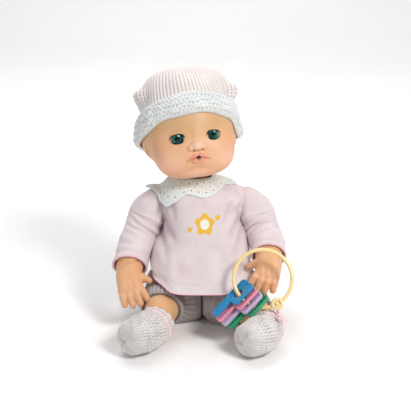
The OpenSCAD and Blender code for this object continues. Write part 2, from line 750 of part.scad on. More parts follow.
// A pin carries the arm: its head is held behind the two torso shells
pin_in = 9;
pin_head_t = 2.4;
pin_head_out = 1.8;
module arm_pin(side) {
    reach = arm_root - shoulder_a + torso_wall + pin_in;
    color(plastic) translate([side * arm_root, seam_y, shoulder_z]) rotate([0, -90 * side, 0]) {
        cylinder(r = pivot_r, h = reach);
        translate([0, 0, reach - pin_head_t]) cylinder(r = pivot_r + pin_head_out, h = pin_head_t);
    }
}
cuff_s = 5.85;
armhole_r = pivot_r + 4;
module armhole(side) {
    translate([side * arm_root, seam_y, shoulder_z]) across(2 * ease + 14, armhole_r);
}
// Rows in the other order, for a tube whose first end is the closed one
function turned_round(rows) = [
    for (i = [len(rows) - 1 : -1 : 0]) [for (k = [len(rows[i]) - 1 : -1 : 0]) rows[i][k]]
];
// The sleeve's closed end lies past the top of the shoulder
function past_end(ring, way, past) = [for (q = ring) q - way * past];
function sleeve_rows(side, grow, flat) = concat(
    [past_end(arm_ring(side, 0, grow - 1, flat, sleeve_cols, 0), heading(arm_points(side), 0), grow)],
    [for (i = [0 : sleeve_steps])
        arm_ring(side, cuff_s * pow(i / sleeve_steps, sleeve_crowd), grow, flat, sleeve_cols, fold_d)]);
module sleeve(side) {
    flat = arm_root - 0.4;
    color(velour) difference() {
        wall_rows(
            turned_round(sleeve_rows(side, sleeve_gap + cloth_t, flat - cloth_t)),
            turned_round(sleeve_rows(side, sleeve_gap, flat)),
            closed_end = true);
        armhole(side);
    }
}

// LEGS
// Control points from the rounded back of the hip through knee and ankle to the toes.
// The side towards the hip frame is flat
shorts_gap = 0.7;
leg_root = hip_half + knit_t + 3 * shorts_gap;
leg_cols = 16;
leg_steps = 20;
shorts_steps = 9;
leg_x = leg_root + 17;
function leg_points(side) = side < 0
    ? [[-leg_x, hip_y + 21, hip_z], [-leg_x, hip_y + 15, hip_z], [-leg_x, hip_y, hip_z], [-40, -28, hip_z],
       [-43, -55, 26], [-45, -79, 25], [-48, -99, 22], [-53, -115, 21], [-64, -129, 21], [-75, -141, 21]]
    : [[leg_x, hip_y + 21, hip_z], [leg_x, hip_y + 15, hip_z], [leg_x, hip_y, hip_z], [41, -28, hip_z],
       [47, -55, 26], [56, -80, 23], [65, -101, 19.5], [67.5, -117, 19.5], [60, -132, 20], [48, -143, 20]];
leg_r = [8, thigh_r - 5.5, thigh_r, thigh_r, thigh_r - 2, thigh_r - 4, ankle_r + 0.5, ankle_r, ankle_r + 1,
    ankle_r - 2];
toe_s = 9;
leg_up = [0, 0, 1];
function leg_ring(side, s, grow, flat, n) =
    [for (q = ring_at(leg_points(side), s, curve(leg_r, s) + grow, curve(leg_r, s) + grow, leg_up, n))
        [side * max(side * q.x, flat), q.y, max(q.z, 0)]];
function leg_rows(side, from, to, steps, grow, flat, n) = [
    for (i = [0 : steps]) leg_ring(side, mix(from, to, i / steps), grow, flat, n)
];
module leg(side) {
    color(vinyl) solid_rows(leg_rows(side, 0, toe_s, leg_steps, 0, leg_root, leg_cols));
}
module leg_pin(side) {
    color(plastic) translate([side * leg_root, hip_y, hip_z]) rotate([0, -90 * side, 0])
        cylinder(r = pivot_r, h = leg_root - 4);
}
shorts_s = 4.2;
function shorts_rows(side, grow, flat) = concat(
    [past_end(leg_ring(side, 0, grow - 0.3, flat, leg_cols), heading(leg_points(side), 0), grow)],
    leg_rows(side, 0, shorts_s, shorts_steps, grow, flat, leg_cols));
module shorts_leg(side) {
    flat = leg_root - shorts_gap;
    color(knit_grey) difference() {
        wall_rows(
            turned_round(shorts_rows(side, shorts_gap + knit_t, flat - knit_t)),
            turned_round(shorts_rows(side, shorts_gap, flat)),
            closed_end = true);
        translate([side * leg_root, hip_y, hip_z]) across(2 * knit_t + 4, pivot_r + 2);
    }
}
module shorts_seat() {
    w = hip_half + 0.1;
    color(knit_grey) translate([-w, seam_y - block_f - knit_t, 0]) difference() {
        cube([2 * w, block_f + block_b + 2 * knit_t, floor_z - plate_t - waist_gap]);
        translate([-1, knit_t - 0.1, seat_gap - 0.1]) cube([2 * w + 2, block_f + block_b + 0.2, waist_z]);
    }
}
band_gap = 1.2;
band_cols = 32;
function band_row(s, grow) = section(curve(torso_z, s) + room, curve(torso_a, s) + grow,
    curve(torso_f, s) + grow, curve(torso_b, s) + grow, band_cols, 0, 360);
module shorts_waistband() {
    levels = [0, 0.4];
    color(knit_grey) wall_rows(
        [for (s = levels) band_row(s, band_gap + knit_t)],
        [for (s = levels) band_row(s, band_gap)]);
}
boot_s = 6.45;
boot_gap = 0.5;
boot_steps = 7;
// The bootie's sole is flat on the floor, and its toe is drawn in past the toes
module bootie(side) {
    color(knit_white) wall_rows(
        concat(leg_rows(side, boot_s, toe_s, boot_steps, boot_gap + bootie_t, 0, leg_cols),
            [toe_ring(side, 0.5 * bootie_t, ankle_r + 1, 0), toe_ring(side, bootie_t, 0.6 * ankle_r, 0)]),
        concat(leg_rows(side, boot_s, toe_s, boot_steps, boot_gap, 0, leg_cols),
            [toe_ring(side, 0.4, ankle_r - 2, 1), toe_ring(side, 0.8, 0.5 * ankle_r, 1)]),
        closed_end = true);
}
function toe_ring(side, past, r, low) =
    let (p = leg_points(side), shift = heading(p, toe_s) * past)
    [for (q = ring_at(p, toe_s, r, r, leg_up, leg_cols))
        [q.x + shift.x, q.y + shift.y, max(q.z + shift.z, low)]];
// A ribbon round the ankle
ribbon_s = 6.9;
ribbon_half = 0.09;
ribbon_t = 1;
module ribbon(side) {
    out = boot_gap + bootie_t + 0.3;
    color([0.95, 0.78, 0.82]) wall_rows(
        leg_rows(side, ribbon_s - ribbon_half, ribbon_s + ribbon_half, 1, out + ribbon_t, 0, leg_cols),
        leg_rows(side, ribbon_s - ribbon_half, ribbon_s + ribbon_half, 1, out, 0, leg_cols));
}

// TUNIC
// Rows from the hem to the neck: height, half width, reach in front of the seam and behind it
ease = cloth_gap + cloth_t;
tunic_z = [waist_z - 1, waist_z + 6, waist_z + 24, waist_z + 38, shoulder_z, shoulder_z + 15, shoulder_z + 25,
    shoulder_z + 30.5];
tunic_a = [belly_a + 10, belly_a + 6, belly_a + 2, shoulder_a + ease, shoulder_a + ease - 0.2,
    shoulder_a - 5 + ease, shoulder_a - 12 + ease, shoulder_a - 18 + ease];
tunic_f = [belly_f + 41, belly_f + 30, belly_f + 13, belly_f + 4, belly_f - 9, belly_f - 17, belly_f - 26,
    belly_f - 35];
tunic_b = [back_b + 10, back_b + 8, back_b + 6, back_b + 4, back_b + 2, back_b, back_b - 4, back_b - 8];
tunic_cols = 34;
tunic_steps = 11;
tunic_gaps = len(tunic_z) - 1;
hem_square = 0.55;
// The hem dips between the knees and falls behind the legs
hem_dip = 9;
hem_dip_spread = 30;
hem_fall = 36;
hem_waves = 9;
hem_wave_d = 1.2;
function hem_drop(w) = let (front = abs(((w - 270 + 540) % 360) - 180))
    -hem_dip * bell(front, hem_dip_spread) - hem_fall * smooth(112, 160, front);
function tunic_fold(w, v) = hem_wave_d * sin(hem_waves * w) * (1 - smooth(0, 2.2, v));
function tunic_rows(grow) = [
    for (i = [0 : tunic_steps]) let (v = tunic_gaps * i / tunic_steps)
        [for (k = [0 : tunic_cols - 1])
            let (w = 360 * k / tunic_cols, f = grow + tunic_fold(w, v),
                 sq = mix(hem_square, square, smooth(0, 4, v)), c = spow(cos(w), sq), s = spow(sin(w), sq))
            [lean(curve(tunic_z, v)) + (curve(tunic_a, v) + f) * c,
             seam_y + ((s < 0 ? curve(tunic_f, v) : curve(tunic_b, v)) + f) * s,
             curve(tunic_z, v) + hem_drop(w) * (1 - smooth(0, 1.6, v))]]
];
module tunic_body() {
    color(velour) difference() {
        wall_rows(tunic_rows(0), tunic_rows(-cloth_t));
        for (side = [-1, 1]) armhole(side);
    }
}
// Collar: a flat ring of cloth on the shoulders with a scalloped edge
collar_t = 1.2;
collar_z = shoulder_z + 33.3;
collar_neck_r = 24;
scallops = 5;
collar_cols = 8 * scallops;
notch = 0.24;
// The scallops hang lower than the notches between them
collar_hang = 2.5;
function collar_row(t, lift) = [
    for (k = [0 : collar_cols - 1])
        let (w = 360 * k / collar_cols, s = sin(w), c = cos(w), front = max(-s, 0),
             lobe = 1 - pow(abs(sin(w * scallops / 2)), 3),
             reach = collar_reach * (1 - notch * (1 - lobe)) * t)
        [neck_lean + (collar_neck_r + reach * (1 - 0.1 * abs(s))) * c,
         seam_y + 2 + (collar_neck_r + reach * (s < 0 ? 0.95 : 0.8)) * s,
         collar_z + lift - (5 + 7 * front + collar_hang * lobe) * t * t - 2 * t]
];
module collar() {
    levels = [1, 0.7, 0.35, 0];
    color("white") wall_rows(
        [for (t = levels) collar_row(t, 0)],
        [for (t = levels) collar_row(t, -collar_t)]);
}

// KEY RING
// The ring stands round the hand, its face turned to the front and tipped up.
// It grows from the place where its keys hang, clear of the bootie and its ribbon
ring_tip = 32;
hang_angle = 231;
ring_hang = [46, -107.6, 49];
ring_centre = ring_hang
    - ring_r * [cos(hang_angle), sin(hang_angle) * sin(ring_tip), sin(hang_angle) * cos(ring_tip)];
key_lean = 0.75;
key_step = key_pitch / ring_r / key_lean * 180 / PI;
key_angles = [for (j = [0 : 3]) hang_angle + (j - 1.5) * key_step];
loop_r = 5;
loop_wire_r = wire_r - 0.3;
loop_angle = 298;
module in_ring() {
    translate(ring_centre) rotate([90 - ring_tip, 0, 0]) children();
}
module key_ring() {
    color(ring_yellow) in_ring() {
        rotate_extrude() translate([ring_r, 0]) circle(wire_r);
        rotate([0, 0, loop_angle]) translate([ring_r, 0, 2 * wire_r - 1])
            rotate_extrude() translate([loop_r, 0]) circle(loop_wire_r);
    }
}
// A key's own frame: hole at the origin, +x along the blade, +z out of its face
key_dir = unit([-0.69, -0.72, 0]);
key_up = unit([key_lean * key_dir.y, -key_lean * key_dir.x, sqrt(1 - key_lean * key_lean)]);
module at_key(j) {
    w = key_angles[j];
    side = cross(key_up, key_dir);
    in_ring() translate([ring_r * cos(w), ring_r * sin(w), 0])
        multmatrix([[key_dir.x, side.x, key_up.x, 0], [key_dir.y, side.y, key_up.y, 0],
                    [key_dir.z, side.z, key_up.z, 0]]) children();
}
key_hole_r = 5.4;
blade_w = 9.5;
corner = 4;
key_bow = 12;
rim_w = 1.8;
rim_h = 0.9;
module key_outline() {
    offset(r = corner, $fn = 24) offset(delta = -corner) union() {
        translate([-key_head_l, -key_w / 2]) square([key_head_l + key_bow, key_w]);
        translate([0, -key_w / 2 + 1]) square([key_blade_l, blade_w]);
    }
}
module key(j, tint) {
    color(tint) at_key(j) difference() {
        linear_extrude(key_t, center = true) key_outline();
        cylinder(r = key_hole_r, h = 2 * key_t, center = true);
        translate([0, 0, key_t / 2 - rim_h]) linear_extrude(key_t) offset(delta = -rim_w) key_outline();
    }
}

hip_frame();
torso_front();
torso_back();
module_screws();
neck_socket();
module_frame();
battery_box();
batteries();
battery_contacts();
battery_door();
door_screw();
circuit_board();
speaker();
tummy_button();
button_spring();
power_switch();
tunic_body();
collar();
shorts_seat();
shorts_waistband();
head_shell();
neck_plug();
mouth_tube();
eye_frame();
cap_crown();
cap_cuff();
eye_axle();
eyeball(1);  // eyeball_left
eyeball(-1);  // eyeball_right
iris(1);  // iris_left
iris(-1);  // iris_right
eyelid(1);  // eyelid_left
eyelid(-1);  // eyelid_right
arm(1);  // arm_left
arm_pin(1);  // arm_pin_left
sleeve(1);  // sleeve_left
arm(-1);  // arm_right
arm_pin(-1);  // arm_pin_right
sleeve(-1);  // sleeve_right
leg(1);  // leg_left
leg_pin(1);  // leg_pin_left
shorts_leg(1);  // shorts_leg_left
bootie(1);  // bootie_left
ribbon(1);  // ribbon_left
leg(-1);  // leg_right
leg_pin(-1);  // leg_pin_right
shorts_leg(-1);  // shorts_leg_right
bootie(-1);  // bootie_right
ribbon(-1);  // ribbon_right
key_ring();
key(0, [0.05, 0.45, 0.75]);  // key_blue
key(1, [0.95, 0.55, 0.65]);  // key_pink
key(2, [0.80, 0.70, 0.85]);  // key_lilac
key(3, [0.05, 0.60, 0.35]);  // key_green
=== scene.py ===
"""Looks of the seated baby doll: skin, eyes, cloth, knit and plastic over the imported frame."""
import math

import bmesh
import bpy
import numpy as np
from mathutils import Matrix, Vector


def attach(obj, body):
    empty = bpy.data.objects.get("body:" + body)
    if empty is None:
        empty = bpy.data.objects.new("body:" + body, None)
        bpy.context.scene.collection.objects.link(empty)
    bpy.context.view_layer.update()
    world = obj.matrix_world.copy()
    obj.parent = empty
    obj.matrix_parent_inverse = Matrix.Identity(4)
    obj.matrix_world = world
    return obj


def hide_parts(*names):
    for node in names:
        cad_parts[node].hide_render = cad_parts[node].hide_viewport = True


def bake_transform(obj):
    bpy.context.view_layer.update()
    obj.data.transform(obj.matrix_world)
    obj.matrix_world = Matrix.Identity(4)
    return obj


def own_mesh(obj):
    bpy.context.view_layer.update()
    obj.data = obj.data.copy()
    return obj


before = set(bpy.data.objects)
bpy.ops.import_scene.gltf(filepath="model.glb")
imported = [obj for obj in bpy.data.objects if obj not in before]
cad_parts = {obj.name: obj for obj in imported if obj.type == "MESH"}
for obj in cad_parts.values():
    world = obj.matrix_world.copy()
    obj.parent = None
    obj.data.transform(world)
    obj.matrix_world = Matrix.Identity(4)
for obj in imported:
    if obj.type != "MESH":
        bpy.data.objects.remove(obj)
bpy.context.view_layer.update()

# Shapes are worked out in millimetres, as in the part's source, and become metres in make_mesh.
MM = 0.001
# The doll's own right and left, and the way that each lies along x.
SIDES = {"right": -1, "left": 1}


# Small tools

def smooth(a, b, t):
    """0 before a, 1 after b, and an even ease between them."""
    s = np.clip((t - a) / (b - a), 0, 1)
    return s * s * (3 - 2 * s)


def mix(a, b, t):
    return a + (b - a) * t


def bell(d, spread):
    return np.exp(-d * d / (2 * spread * spread))


def unit(v):
    v = np.asarray(v, float)
    return v / np.linalg.norm(v, axis=-1, keepdims=True)


def turn(axis, degrees):
    """Matrix that turns column vectors about x, y or z."""
    return np.array(Matrix.Rotation(math.radians(degrees), 3, axis))


def sine(degrees):
    return np.sin(np.radians(degrees))


def cosine(degrees):
    return np.cos(np.radians(degrees))


def around(cols):
    """Degrees all the way round, as one row of so many columns."""
    return np.linspace(0, 360, cols, endpoint=False)[None, :]


def apart(w, at):
    """Degrees from one place round to another, between -180 and 180."""
    return (w - at + 540) % 360 - 180


def curve(points, s):
    """A smooth curve through control values, at s from 0 to their number less one."""
    p = np.asarray(points, float)
    s = np.asarray(s, float)
    i = np.clip(np.floor(s).astype(int), 0, len(p) - 2)
    t = s - i
    a = p[np.maximum(i - 1, 0)]
    b = p[i]
    c = p[i + 1]
    d = p[np.minimum(i + 2, len(p) - 1)]
    if p.ndim > 1:
        t = t[..., None]
    slope = (c - a) * t
    bend = (2 * a - 5 * b + 4 * c - d) * t ** 2
    swing = (3 * b - a - 3 * c + d) * t ** 3
    return 0.5 * (2 * b + slope + bend + swing)


def heading(points, s):
    last = len(points) - 1
    return unit(curve(points, np.minimum(s + 0.02, last)) - curve(points, np.maximum(s - 0.02, 0)))


def line_frame(points, s, back):
    """Directions along a curve, across it, and out of it towards its back."""
    along = heading(points, s)
    across = unit(np.cross(back, along))
    return along, across, np.cross(along, across)


def directions(lon, lat, tilt):
    """Unit vectors at longitudes and latitudes in degrees, about an upright line that is tilted."""
    lon, lat = np.broadcast_arrays(lon, lat)
    u = np.stack([cosine(lat) * sine(lon), -cosine(lat) * cosine(lon), sine(lat)], -1)
    return u @ turn("X", tilt).T


def spow(x, p):
    """A power that keeps the sign."""
    return np.sign(x) * np.abs(x) ** p


def ripple(points, seed, scale):
    """Soft, repeatable unevenness between about -1 and 1: a sum of slanted waves of a few lengths."""
    rng = np.random.default_rng(seed)
    total = 0
    waves = 9
    for _ in range(waves):
        way = unit(rng.normal(size=3))
        length = scale * rng.uniform(0.7, 1.8)
        total = total + np.sin(points @ way * 2 * math.pi / length + rng.uniform(0, 6.3))
    return total / waves ** 0.5 / 1.4


# Meshes

def grid_faces(rows, cols, wrap=True, joined=False):
    """Quads of a grid of points. wrap joins the last column to the first, and joined the last row."""
    i = np.arange(rows if joined else rows - 1)[:, None]
    k = np.arange(cols if wrap else cols - 1)[None, :]
    low = i * cols
    high = (i + 1) % rows * cols
    j = (k + 1) % cols
    return np.stack([low + k, low + j, high + j, high + k], -1).reshape(-1, 4)


def new_object(name, data):
    obj = bpy.data.objects.new(name, data)
    bpy.context.scene.collection.objects.link(obj)
    return obj


def make_mesh(name, points, faces, body=None):
    """A smooth-shaded object from points in millimetres. body is what it rides on."""
    mesh = bpy.data.meshes.new(name)
    mesh.from_pydata((np.asarray(points).reshape(-1, 3) * MM).tolist(), [], [list(f) for f in faces])
    mesh.shade_smooth()
    mesh.update()
    obj = new_object(name, mesh)
    if body:
        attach(obj, body)
    return obj


def cut_away(obj, gone):
    """Takes out the marked points, and the faces on them, to leave an opening."""
    work = bmesh.new()
    work.from_mesh(obj.data)
    work.verts.ensure_lookup_table()
    bmesh.ops.delete(work, geom=[work.verts[i] for i in np.flatnonzero(gone)], context="VERTS")
    work.to_mesh(obj.data)
    work.free()


def paint(obj, name, values):
    """Stores one number, or one vector, for each point, for the materials to read."""
    values = np.asarray(values, np.float32)
    if values.ndim > 1 and values.shape[-1] == 3:
        layer = obj.data.attributes.new(name, "FLOAT_VECTOR", "POINT")
        layer.data.foreach_set("vector", values.reshape(-1))
    else:
        layer = obj.data.attributes.new(name, "FLOAT", "POINT")
        layer.data.foreach_set("value", values.reshape(-1))


def fan(start, cols, turned=False):
    """One face over a ring of points."""
    ring = list(range(start, start + cols))
    return ring[::-1] if turned else ring


def loft(name, rows, body, closed=(False, False), inside=False, joined=False):
    """A tube through rows of points. closed says which ends get a lid, inside turns its faces round,
    and joined closes the last row on the first."""
    rows = np.asarray(rows)
    m, n = rows.shape[:2]
    faces = grid_faces(m, n, True, joined)
    if inside:
        faces = faces[:, ::-1]
    faces = faces.tolist()
    if closed[0]:
        faces.append(fan(0, n, not inside))
    if closed[1]:
        faces.append(fan((m - 1) * n, n, inside))
    return make_mesh(name, rows, faces, body)


def tube(name, path, radius, body, sides=16, closed=False, reference=(0, 0, 1)):
    """A round wire along a path of points. radius is one number, or one for each point."""
    path = np.asarray(path, float)
    along = np.gradient(path, axis=0)
    if closed:
        along = np.roll(path, -1, axis=0) - np.roll(path, 1, axis=0)
    along = unit(along)
    side = unit(np.cross(np.asarray(reference, float), along))
    up = np.cross(along, side)
    radius = np.broadcast_to(radius, len(path))[:, None, None]
    w = np.linspace(0, 2 * math.pi, sides, endpoint=False)[None, :, None]
    rows = path[:, None] + radius * (side[:, None] * np.cos(w) + up[:, None] * np.sin(w))
    return loft(name, rows, body, (not closed, not closed), joined=closed)


# Materials

def material(name, roughness, **sockets):
    """A new material with its shader. Other sockets are named with _ for a space."""
    m = bpy.data.materials.new(name)
    m.use_nodes = True
    shader = m.node_tree.nodes["Principled BSDF"]
    shader.inputs["Roughness"].default_value = roughness
    for key, value in sockets.items():
        shader.inputs[key.replace("_", " ")].default_value = value
    return m


def shader_of(m):
    return m.node_tree.nodes["Principled BSDF"]


def add(m, kind, values=None, **settings):
    """A node in m's tree. values holds its inputs: sockets are linked, and anything else is set."""
    n = m.node_tree.nodes.new(kind)
    for key, value in settings.items():
        setattr(n, key, value)
    for key, value in (values or {}).items():
        if isinstance(value, bpy.types.NodeSocket):
            m.node_tree.links.new(value, n.inputs[key])
        else:
            n.inputs[key].default_value = value
    return n


def link(m, socket, name):
    m.node_tree.links.new(socket, shader_of(m).inputs[name])


def rgb(r, g, b):
    """A colour given as it looks on screen, 0 to 255, in the linear values that shaders take."""
    c = np.array([r, g, b]) / 255
    c = np.where(c <= 0.04045, c / 12.92, ((c + 0.055) / 1.055) ** 2.4)
    return (*c.tolist(), 1.0)


def noise(m, scale, detail=3.0, place="Object", roughness=0.55):
    where = add(m, "ShaderNodeTexCoord").outputs[place]
    return add(m, "ShaderNodeTexNoise", {"Vector": where, "Scale": scale, "Detail": detail,
                                         "Roughness": roughness}).outputs["Fac"]


def stored(m, name):
    return add(m, "ShaderNodeAttribute", attribute_name=name).outputs["Fac"]


def ramp(m, value, *stops):
    """A colour ramp: stops are (place, colour)."""
    n = add(m, "ShaderNodeValToRGB", {"Fac": value})
    while len(n.color_ramp.elements) < len(stops):
        n.color_ramp.elements.new(0.5)
    for element, (place, colour) in zip(n.color_ramp.elements, stops):
        element.position = place
        element.color = colour
    return n.outputs["Color"]


def blend_colour(m, amount, a, b, mode="MIX"):
    n = add(m, "ShaderNodeMix", data_type="RGBA", blend_type=mode)
    for socket, value in ((n.inputs[0], amount), (n.inputs[6], a), (n.inputs[7], b)):
        if isinstance(value, bpy.types.NodeSocket):
            m.node_tree.links.new(value, socket)
        else:
            socket.default_value = value
    return n.outputs[2]


def math_node(m, operation, a, b=0.0):
    return add(m, "ShaderNodeMath", {0: a, 1: b}, operation=operation).outputs[0]


def tinted(m, colour, mark, tint, share=1.0):
    """A colour with another laid over it where a stored mark is high."""
    amount = stored(m, mark)
    if share < 1:
        amount = math_node(m, "MULTIPLY", amount, share)
    return blend_colour(m, amount, colour, tint)


def darker(colour, share):
    return tuple(c * share for c in colour[:3]) + (1.0,)


def threads(m, scale, way="X", distortion=0.0):
    """Fine lines of thread, side by side in one direction."""
    where = add(m, "ShaderNodeTexCoord").outputs["Object"]
    values = {"Vector": where, "Scale": scale, "Distortion": distortion}
    return add(m, "ShaderNodeTexWave", values, bands_direction=way).outputs["Fac"]


def bump_from(m, height, distance, strength=1.0):
    n = add(m, "ShaderNodeBump", {"Height": height, "Distance": distance, "Strength": strength})
    link(m, n.outputs["Normal"], "Normal")


def give(obj, m):
    obj.data.materials.clear()
    obj.data.materials.append(m)
    return obj


def dress(obj, m, slot, *nodes):
    """Finishes a piece: its material and the CAD nodes that it stands for, which it hides. slot is not used.
    """
    give(obj, m)
    if nodes:
        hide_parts(*nodes)


# Head: the part's own skull and swellings, with the finer features of the face added

HEAD_CENTRE = np.array([-16.0, 15.0, 207.0])
HEAD_TURN = turn("Z", 11) @ turn("Y", -4.5) @ turn("X", -18)
SKULL = (51.5, 52.0, 56.0)
NECK_TILT = 14
# Each swelling: height, side, latitude, and its spread across and along, in mm and degrees.
SWELLINGS = {
    "cheek": (4.5, 44, -30, 20, 15),
    "chin": (4.0, 0, -55, 13, 9),
    "eye_hollow": (-2.6, 24, -12, 10, 7),
}
NOSE_BRIDGE = (1.6, 0, -11, 5.5, 6.5)
NOSTRIL = (-1.3, 4.7, -27.0, 1.6, 0.9)
NOSE_UNDER = (-0.8, 0, -29.4, 7.5, 1.6)
CHIN_CREASE = (-1.7, 0, -47.2, 9, 2.4)
EAR = (5.5, 92, -17, 8, 11)
EAR_LOBE = (5.0, 80, -25, 5, 7)
EAR_HOLLOW = (-3.4, 78, -22, 2.6, 4.6)
# The cheeks hang full beside the mouth, and the jaw draws in behind them.
JOWL = (5.4, 61, -51, 20, 12)
JAW_BACK = (-7.5, 101, -42, 21, 17)
# Round knobs of the nose: height, side, latitude, and half its width and height in degrees.
NOSE_TIP = (6.8, 0, -21.6, 8.0, 5.9)
NOSE_WING = (4.3, 7.9, -23.6, 4.2, 3.8)
# The mouth is drawn flat on the face: mm across and mm up from the middle of its line.
MOUTH_LAT = -36.0
MM_PER_DEGREE = 0.98
MOUTH_HALF = 12.4
MOUTH_ARCH = 2.6
# The hole of the mouth: its edge runs between these radii, and it goes this deep.
MOUTH_HOLE = (2.7, 1.7)
MOUTH_DEEP = 6
UPPER_LIP = 5.0
LOWER_LIP = 5.8
LOWER_HALF = 7.8
# The lower lip is painted more thinly than the upper one.
LOWER_TINT = 0.62
EYE_AT = (20.0, -37.0, -10.0)
EYE_R = 10.0
EYE_ROOM = 1.0
EYE_SUNK = 1.1
EYE_HALF_WIDE = 7.0
EYE_HALF_UP = 4.7
EYE_HALF_DOWN = 5.2
EYE_SLANT = -0.03
# The opening lies a little below the middle of the eyeball.
EYE_LOW = 1.7
# Where the face is flushed, where it carries painted highlights, and the painted shade under the nostrils:
# strength, side, latitude, and spread across and along.
BLUSHES = [(0.42, 46, -31, 17, 12), (0.32, 62, -46, 22, 11), (0.22, 0, -55, 12, 7), (0.25, 0, -23, 8, 5),
           (0.35, 92, -17, 8, 11)]
HIGHLIGHT_SPOTS = [(0.8, 0, -21, 7, 4), (0.55, 40, -36, 13, 9), (0.45, 0, -54, 9, 5)]
NOSTRIL_SHADE = (0.6, 4.7, -27.0, 1.4, 0.8)


def head_place(points):
    """From the head's own frame to the doll's."""
    return np.asarray(points) @ HEAD_TURN.T + HEAD_CENTRE


def lon_lat(u):
    return np.degrees(np.arctan2(u[..., 0], -u[..., 1])), np.degrees(np.arcsin(np.clip(u[..., 2], -1, 1)))


def bump_at(lon, lat, at_lon, at_lat, s_lon, s_lat):
    return bell((lon - at_lon) * cosine(lat), s_lon) * bell(lat - at_lat, s_lat)


def swell(shape, side, lat):
    height, at_side, at_lat, s_lon, s_lat = shape
    return height * bump_at(side, lat, at_side, at_lat, s_lon, s_lat)


def swells(shapes, side, lat):
    return sum(swell(shape, side, lat) for shape in shapes)


def knob(shape, side, lat):
    """A rounder, steeper swelling: half a flattened ball, with a small fillet at its foot."""
    height, at_side, at_lat, half_wide, half_high = shape
    d = np.hypot((side - at_side) * cosine(lat) / half_wide, (lat - at_lat) / half_high)
    ball = 0.62 * np.sqrt(np.maximum(1 - d * d, 0) + 0.03)
    fillet = 0.38 * bell(d, 0.62) - 0.10
    return height * (ball + fillet) * smooth(1.6, 0.8, d)


def skull_r(u):
    """Radius of the bare skull: rounder at the top, squarer at the jaw."""
    lat = lon_lat(u)[1]
    p = 2 + 0.75 * smooth(0, 50, -lat) * smooth(-0.1, 0.6, -u[..., 1])
    total = sum(np.abs(u[..., i] / SKULL[i]) ** p for i in range(3))
    return total ** (-1 / p)


def mouth_plan(lon, lat):
    """Millimetres across and up from the mouth's own line, which arches in the middle."""
    across = lon * cosine(lat) * MM_PER_DEGREE
    line = MOUTH_ARCH * (0.55 - (across / MOUTH_HALF) ** 2)
    return across, (lat - MOUTH_LAT) * MM_PER_DEGREE - line


def lip_shapes(across, up):
    """How far inside each lip a point is, 0 at the edge to 1 in its middle, and the tint of both."""
    reach = np.clip(1 - np.abs(across) / MOUTH_HALF, 0, 1)
    bow = 1 - 0.34 * bell(across, 1.5)
    top = UPPER_LIP * reach ** 0.45 * bow + 0.01
    low = LOWER_LIP * np.clip(1 - (across / LOWER_HALF) ** 2, 0, 1) ** 0.7 + 0.01
    upper = np.where((up > 0) & (up < top), np.sin(math.pi * np.clip(up / top, 0, 1)), 0)
    lower = np.where((up < 0) & (up > -low), np.sin(math.pi * np.clip(-up / low, 0, 1)), 0)
    tint = smooth(top + 0.5, top - 0.4, up) * smooth(-low - 0.5, -low + 0.4, up)
    tint = tint * smooth(MOUTH_HALF + 0.5, MOUTH_HALF - 1.0, np.abs(across))
    tint = tint * mix(LOWER_TINT, 1, smooth(-1.2, 0, up))
    return upper * reach ** 0.4, lower, tint


def face_r(u):
    """Radius of the skin before the eyes are opened, the tint of the lips, and the painted shade of the
    mouth's hole and corners.
    """
    lon, lat = lon_lat(u)
    side = np.abs(lon)
    features = (NOSE_BRIDGE, NOSTRIL, NOSE_UNDER, CHIN_CREASE, EAR, EAR_LOBE, EAR_HOLLOW, JOWL, JAW_BACK)
    r = skull_r(u) + swells((*SWELLINGS.values(), *features), side, lat)
    r = r + np.maximum(knob(NOSE_TIP, side, lat), 0.94 * knob(NOSE_WING, side, lat) + 0.1)
    across, up = mouth_plan(lon, lat)
    upper, lower, tint = lip_shapes(across, up)
    front = smooth(40, 25, side)
    r = r + front * (2.6 * bump_at(lon, lat, 0, MOUTH_LAT, 11, 6.5) + 1.3 * upper + 1.7 * lower)
    r = r - front * 1.3 * bell(up, 0.55) * smooth(MOUTH_HALF - 1, MOUTH_HALF - 7, np.abs(across))
    corner = bell(np.abs(across) - MOUTH_HALF + 0.3, 0.8) * bell(up, 0.7)
    r = r - front * 0.9 * corner
    groove = smooth(3.2, 5, up) * smooth(10.5, 8, up)
    r = r + front * groove * (0.5 * bell(np.abs(across) - 2.5, 0.9) - 0.6 * bell(across, 1.1))
    hole = smooth(*MOUTH_HOLE, np.hypot(across, up * 1.15))
    r = r - front * MOUTH_DEEP * hole
    return r, tint * front, np.maximum(hole, 0) * front, corner * front


def ball_along(u, centre, radius):
    """How far along u the near side of a ball lies as seen from outside, or 0 where u misses it."""
    along = u @ centre
    inside = along ** 2 - centre @ centre + radius ** 2
    return np.where(inside > 0, along + np.sqrt(np.maximum(inside, 0)), 0)


def eye_plan(points, side):
    """Place inside the almond of one eye: below 0 is inside, and the height above its middle."""
    out = (points[..., 0] - side * EYE_AT[0]) * side
    up = points[..., 2] - EYE_AT[2] + EYE_LOW - EYE_SLANT * out
    half = np.where(up > 0, EYE_HALF_UP, EYE_HALF_DOWN)
    return (np.abs(out) / EYE_HALF_WIDE) ** 2.6 + (np.abs(up) / half) ** 2.2 - 1, up


